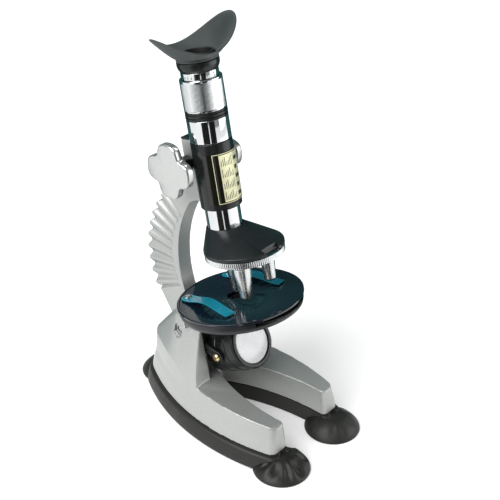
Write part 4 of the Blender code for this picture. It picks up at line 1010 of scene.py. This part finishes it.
def zoom():
    """The zoom ring, finely knurled between its two polished rims."""
    profile = [
        (0.0119, 0.1325), (0.0137, 0.1325), (0.0139, 0.1327), (0.0139, 0.1329), (0.0139, 0.1335),
        (0.0139, 0.1336), (0.0139, 0.1338), (0.0139, 0.1342), (0.0139, 0.1425), (0.0139, 0.1506),
        (0.0139, 0.1510), (0.0139, 0.1512), (0.0139, 0.1513), (0.0139, 0.1523), (0.0139, 0.1527),
        (0.0136, 0.1530), (0.0119, 0.1530),
    ]
    knurled("zoom_grip", profile, 120, 0.00012, 0.13355, 0.15125, "chrome", "zoom_ring",
            ["zoom_ring"])


def eyecup():
    """A flared cup whose rim rises to a wing on both sides, more on the right."""
    root_r, bowl_r = 0.0138, 0.0124
    low = EYECUP_FLARE_W
    steps = 160
    rings = []
    for i in range(steps):
        turn = 2 * math.pi * i / steps
        wing = math.cos(2 * (turn - EYECUP_TURN))
        right = math.cos(turn - EYECUP_TURN)
        rim_w = EYECUP_RIM_MEAN + EYECUP_WING_RISE * wing + EYECUP_RIGHT_RISE * right
        rim_r = EYECUP_RIM_RADIUS + 0.0006 * wing
        section = [(0.0119, 0.1643), (0.0134, 0.1643), (root_r, 0.1647)]
        for share in [j / 10 for j in range(10)]:
            radius = root_r + (rim_r - 0.0002 - root_r) * share
            section.append((radius, low + (rim_w - 0.0006 - low) * share ** EYECUP_FLARE_POWER))
        section += [(rim_r - 0.0003, rim_w - 0.0007), (rim_r, rim_w - 0.0002), (rim_r - 0.0002, rim_w),
                    (rim_r - 0.0008, rim_w)]
        for share in [j / 10 for j in range(9, -1, -1)]:
            radius = bowl_r + (rim_r - 0.0010 - bowl_r) * share
            section.append((radius, low + 0.0013 + (rim_w - low - 0.0014) * share ** EYECUP_FLARE_POWER))
        section.append((0.0119, low + 0.0012))
        rings.append([
            (radius * math.cos(turn), radius * math.sin(turn), height) for radius, height in section
        ])
    loft("eyecup_moulding", rings, "rubber", "eyecup", ["eyecup"], COLUMN, 60, True)


def turret():
    rim = TURRET_RADIUS + 0.0003
    points = []
    for index in range(7):
        bend = math.radians(90 * index / 6)
        inset = 0.0010 * (1 - math.cos(bend))
        rise = 0.0399 + 0.0010 * math.sin(bend)
        points += circle(0, TURRET_V, rim - inset, rise)
    points += circle(0, TURRET_V, rim, 0.0383)
    points += circle(0, 0, 0.0148, 0.0383)
    for index in range(5):
        bend = math.radians(90 * index / 4)
        points += circle(0, 0, 0.0131 - 0.0008 * (1 - math.cos(bend)), 0.0510 + 0.0010 * math.sin(bend))
    cover = hull("turret_housing", points, COLUMN)
    axis = at(0, TURRET_V, 0)
    combine(cover, [
        cylinder("socket", 0.0122, 0.0432, 0.060, steps=96),
        cylinder("cover_bore", 0.0065, 0.030, 0.050, steps=48),
        block("notch", 0.0075, -0.060, -0.0368, 0.030, 0.060),
        cylinder("screw_bore", 0.0018, 0.030, 0.045, axis),
    ], "DIFFERENCE")
    bevelled(cover, 0.0003, 2)
    dress(cover, "cover", "tube", ["turret_cover"], 30)
    disc = knurled("turret_plate", [
        (0.0023, 0.0325), (0.0240, 0.0325), (0.0252, 0.0327), (0.0268, 0.0336), (0.0270, 0.0338),
        (0.0270, 0.0373), (0.0268, 0.0376), (0.0260, 0.0380), (0.0023, 0.0380),
    ], 120, 0.0004, 0.0337, 0.0374, None, None, place=axis)
    bores = []
    lengths = (("high", 0.0, 0.0297), ("mid", 120.0, 0.0250), ("low", 240.0, 0.0220))
    for name, turn, _ in lengths:
        bores.append(cylinder(f"bore_{name}", 0.0044, 0.030, 0.040, axis @ objective_place(turn), 48))
    combine(disc, bores, "DIFFERENCE")
    dress(disc, "chrome", "turret", ["turret_disc"])
    shapes = {
        "high": [(0.0058, -0.0003), (0.0058, -0.0016), (0.0052, -0.0021), (0.0050, -0.0060),
                 (0.0036, -0.0150), (0.0029, -0.0240), (0.0025, -0.0285), (0.0020, -0.0297)],
        "mid": [(0.0068, -0.0003), (0.0068, -0.0018), (0.0062, -0.0023), (0.0060, -0.0060),
                (0.0047, -0.0190), (0.0041, -0.0236), (0.0036, -0.0250)],
        "low": [(0.0058, -0.0003), (0.0058, -0.0016), (0.0052, -0.0022), (0.0051, -0.0060),
                (0.0044, -0.0160), (0.0042, -0.0208), (0.0038, -0.0220)],
    }
    for name, turn, length in lengths:
        top = 0.0325
        outside = [(radius, top + height) for radius, height in shapes[name]]
        bottom = top - length
        profile = [(0.0030, 0.0374), (0.0041, 0.0374), (0.0041, top - GAP)] + outside + [
            (0.0013, bottom), (0.0011, bottom + 0.0010), (0.0016, bottom + 0.0040), (0.0030, top),
        ]
        turned(f"objective_{name}_turned", profile, "satin", "turret", [f"objective_{name}"],
               axis @ objective_place(turn), 0.0003, 96)
    turned("turret_thumb_screw", [
        (0, 0.0300), (0.0030, 0.0303), (0.0044, 0.0312), (0.0044, 0.0322), (0.0019, 0.0322),
        (0.0019, 0.0380), (0.0015, 0.0382), (0.0015, 0.0445), (0, 0.0445),
    ], "chrome", "tube", ["turret_screw"], axis, 0.0002, 48)


def objective_place(turn):
    angle = math.pi / 2 + math.radians(turn)
    return Matrix.Translation((-TURRET_V * math.cos(angle), -TURRET_V * math.sin(angle), 0))


def focus_knobs():
    axis = at(0, SHAFT_V, SHAFT_W)
    points = 120
    edge = 0.0009
    for side, name in ((-1, "left"), (1, "right")):
        rings = []
        for height, inset in ((KNOB_INNER, edge), (KNOB_INNER + 0.0004, 0.0003), (KNOB_INNER + edge, 0),
                              (KNOB_OUTER - 0.0013, 0), (KNOB_OUTER - 0.0007, 0.0002),
                              (KNOB_OUTER - 0.0002, 0.0007), (KNOB_OUTER, 0.0013)):
            ring = []
            for i in range(points):
                angle = 2 * math.pi * i / points
                dip = (0.5 - 0.5 * math.cos(4 * (angle - KNOB_TURN))) ** 2.4
                reach = KNOB_RADIUS - KNOB_NOTCH * dip - inset
                ring.append((side * height, reach * math.cos(angle), reach * math.sin(angle)))
            rings.append(ring)
        knob = loft(f"knob_{name}", rings, place=axis)
        collar = turned(f"knob_collar_{name}", [
            (0, 0.0150), (0.0088, 0.0150), (0.0097, 0.0158), (0.0100, 0.0166), (0.0100, 0.0190),
            (0.0096, 0.0196), (0.0096, 0.0210), (0, 0.0210),
        ], None, None, place=axis @ across(side), radius=0.0003, steps=96)
        combine(knob, [collar], "UNION")
        bore = cylinder("bore", 0.0018, 0.010, 0.024, axis @ across(side))
        combine(knob, [bore], "DIFFERENCE")
        dress(knob, "knob", "focus_drive", [f"focus_knob_{name}"], 30)


# Plain pieces, camera and light ------------------------------------------------------


CARRIED = {
    "steel": ("tray_screw_left", "tray_screw_right", "tray_screw_rear", "pivot_nut", "stage_screw",
              "wheel_pivot_screw", "bracket_screw", "battery_cell"),
    "black": ("stage_bracket", "lamp_switch", "lens_carrier", "aperture_wheel"),
    "brass": ("pinion_shaft", "rack"),
    "glass": ("zoom_lens", "objective_lens_high", "objective_lens_mid", "objective_lens_low", "bulb"),
}


def dress_carried_nodes():
    for look, names in CARRIED.items():
        for name in names:
            node = frame["nodes"][name]
            node.data.materials.clear()
            node.data.materials.append(LOOKS[look])


def area_light(name, place, target, size, power):
    data = bpy.data.lights.new(name, "AREA")
    data.shape = "RECTANGLE"
    data.size, data.size_y = size
    data.energy = power
    light = bpy.data.objects.new(name, data)
    light.location = place
    light.rotation_euler = (Vector(target) - Vector(place)).to_track_quat("-Z", "Y").to_euler()
    bpy.context.scene.collection.objects.link(light)


def dark_screen(name, look, from_angle, to_angle, levels, steps=16):
    """A dark panel that only shiny surfaces see, bent round the object. A level is (radius, height)."""
    bm = bmesh.new()
    columns = []
    for i in range(steps + 1):
        angle = math.radians(from_angle + (to_angle - from_angle) * i / steps)
        columns.append([
            bm.verts.new((radius * math.cos(angle), radius * math.sin(angle), height))
            for radius, height in levels
        ])
    for column, following in zip(columns, columns[1:]):
        for i in range(len(levels) - 1):
            bm.faces.new((column[i], following[i], following[i + 1], column[i + 1]))
    mesh = bpy.data.meshes.new(name)
    bm.to_mesh(mesh)
    bm.free()
    screen = bpy.data.objects.new(name, mesh)
    bpy.context.scene.collection.objects.link(screen)
    mesh.materials.append(LOOKS[look])
    screen.visible_camera = False
    screen.visible_diffuse = False
    screen.visible_transmission = False
    screen.visible_shadow = False


def screens():
    """Dark panels for the polished parts to mirror, beside the camera's side and behind the object."""
    upright = [(SCREEN_RADIUS, 0.0), (SCREEN_RADIUS, SCREEN_HEIGHT)]
    dark_screen("screen_left", "screen", CAMERA_AZIMUTH - 38, CAMERA_AZIMUTH - SCREEN_GAP, upright)
    dark_screen("screen_right", "screen", CAMERA_AZIMUTH + SCREEN_GAP, CAMERA_AZIMUTH + 34, upright)
    dome = [(DOME_FLOOR_RADIUS, 0.001)] + [
        (DOME_RADIUS * math.cos(math.radians(rise)), DOME_RADIUS * math.sin(math.radians(rise)))
        for rise in range(1, 82, 10)
    ]
    dark_screen("screen_behind", "teal_screen", CAMERA_AZIMUTH - 250, CAMERA_AZIMUTH - 110, dome, 28)


def lay_floor():
    bm = bmesh.new()
    bmesh.ops.create_grid(bm, x_segments=1, y_segments=1, size=6.0)
    mesh = bpy.data.meshes.new("floor")
    bm.to_mesh(mesh)
    bm.free()
    floor = bpy.data.objects.new("floor", mesh)
    floor.location.z = -0.0002
    bpy.context.scene.collection.objects.link(floor)
    paint = Surface("floor_paint", (0.78, 0.78, 0.78), 0.7, Emission_Color=(1, 1, 1, 1),
                    Emission_Strength=0.25)
    paint.vary_roughness(paint.noise(3, 2.0), 0.65, 0.75)
    mesh.materials.append(paint.material)


def lights():
    """One broad light from the left, two faint ones and an even sky."""
    bpy.context.scene.view_settings.view_transform = "Standard"
    world = bpy.data.worlds.new("studio")
    bpy.context.scene.world = world
    world.use_nodes = True
    world.node_tree.nodes["Background"].inputs["Color"].default_value = (0.98, 0.99, 1.0, 1)
    world.node_tree.nodes["Background"].inputs["Strength"].default_value = WORLD_STRENGTH
    sun = bpy.data.lights.new("key", "SUN")
    sun.energy = KEY_STRENGTH
    sun.angle = math.radians(KEY_SPREAD)
    key = bpy.data.objects.new("key", sun)
    azimuth, elevation = math.radians(KEY_AZIMUTH), math.radians(KEY_ELEVATION)
    toward = Vector((
        math.cos(elevation) * math.cos(azimuth), math.cos(elevation) * math.sin(azimuth),
        math.sin(elevation),
    ))
    key.rotation_euler = toward.to_track_quat("Z", "Y").to_euler()
    bpy.context.scene.collection.objects.link(key)
    middle = (0, 0, 0.12)
    area_light("fill", (0.62, -0.75, 0.40), middle, (0.9, 0.6), FILL_POWER)
    area_light("back", (0.2, 0.8, 0.9), middle, (0.6, 0.5), BACK_POWER)


def camera():
    data = bpy.data.cameras.new("camera")
    data.lens = CAMERA_LENS_MM
    data.sensor_width = 36.0
    data.clip_start = 0.01
    made = bpy.data.objects.new("camera", data)
    made.location = CAMERA_PLACE
    made.rotation_euler = (CAMERA_TARGET - CAMERA_PLACE).to_track_quat("-Z", "Y").to_euler()
    bpy.context.scene.collection.objects.link(made)
    bpy.context.scene.camera = made


camera()
base_shell()
base_tray()
foot("front_foot_left", -FRONT_FOOT[0], FRONT_FOOT[1], 0.0034)
foot("front_foot_right", FRONT_FOOT[0], FRONT_FOOT[1], 0.0006)
foot("rear_foot", 0.0, REAR_FOOT_Y, 0.0004)
pivot_bolt()
arm_frame()
arm_head()
stage()
lamp()
fork()
tube()
zoom()
eyecup()
turret()
focus_knobs()
dress_carried_nodes()
screens()
lay_floor()
lights()
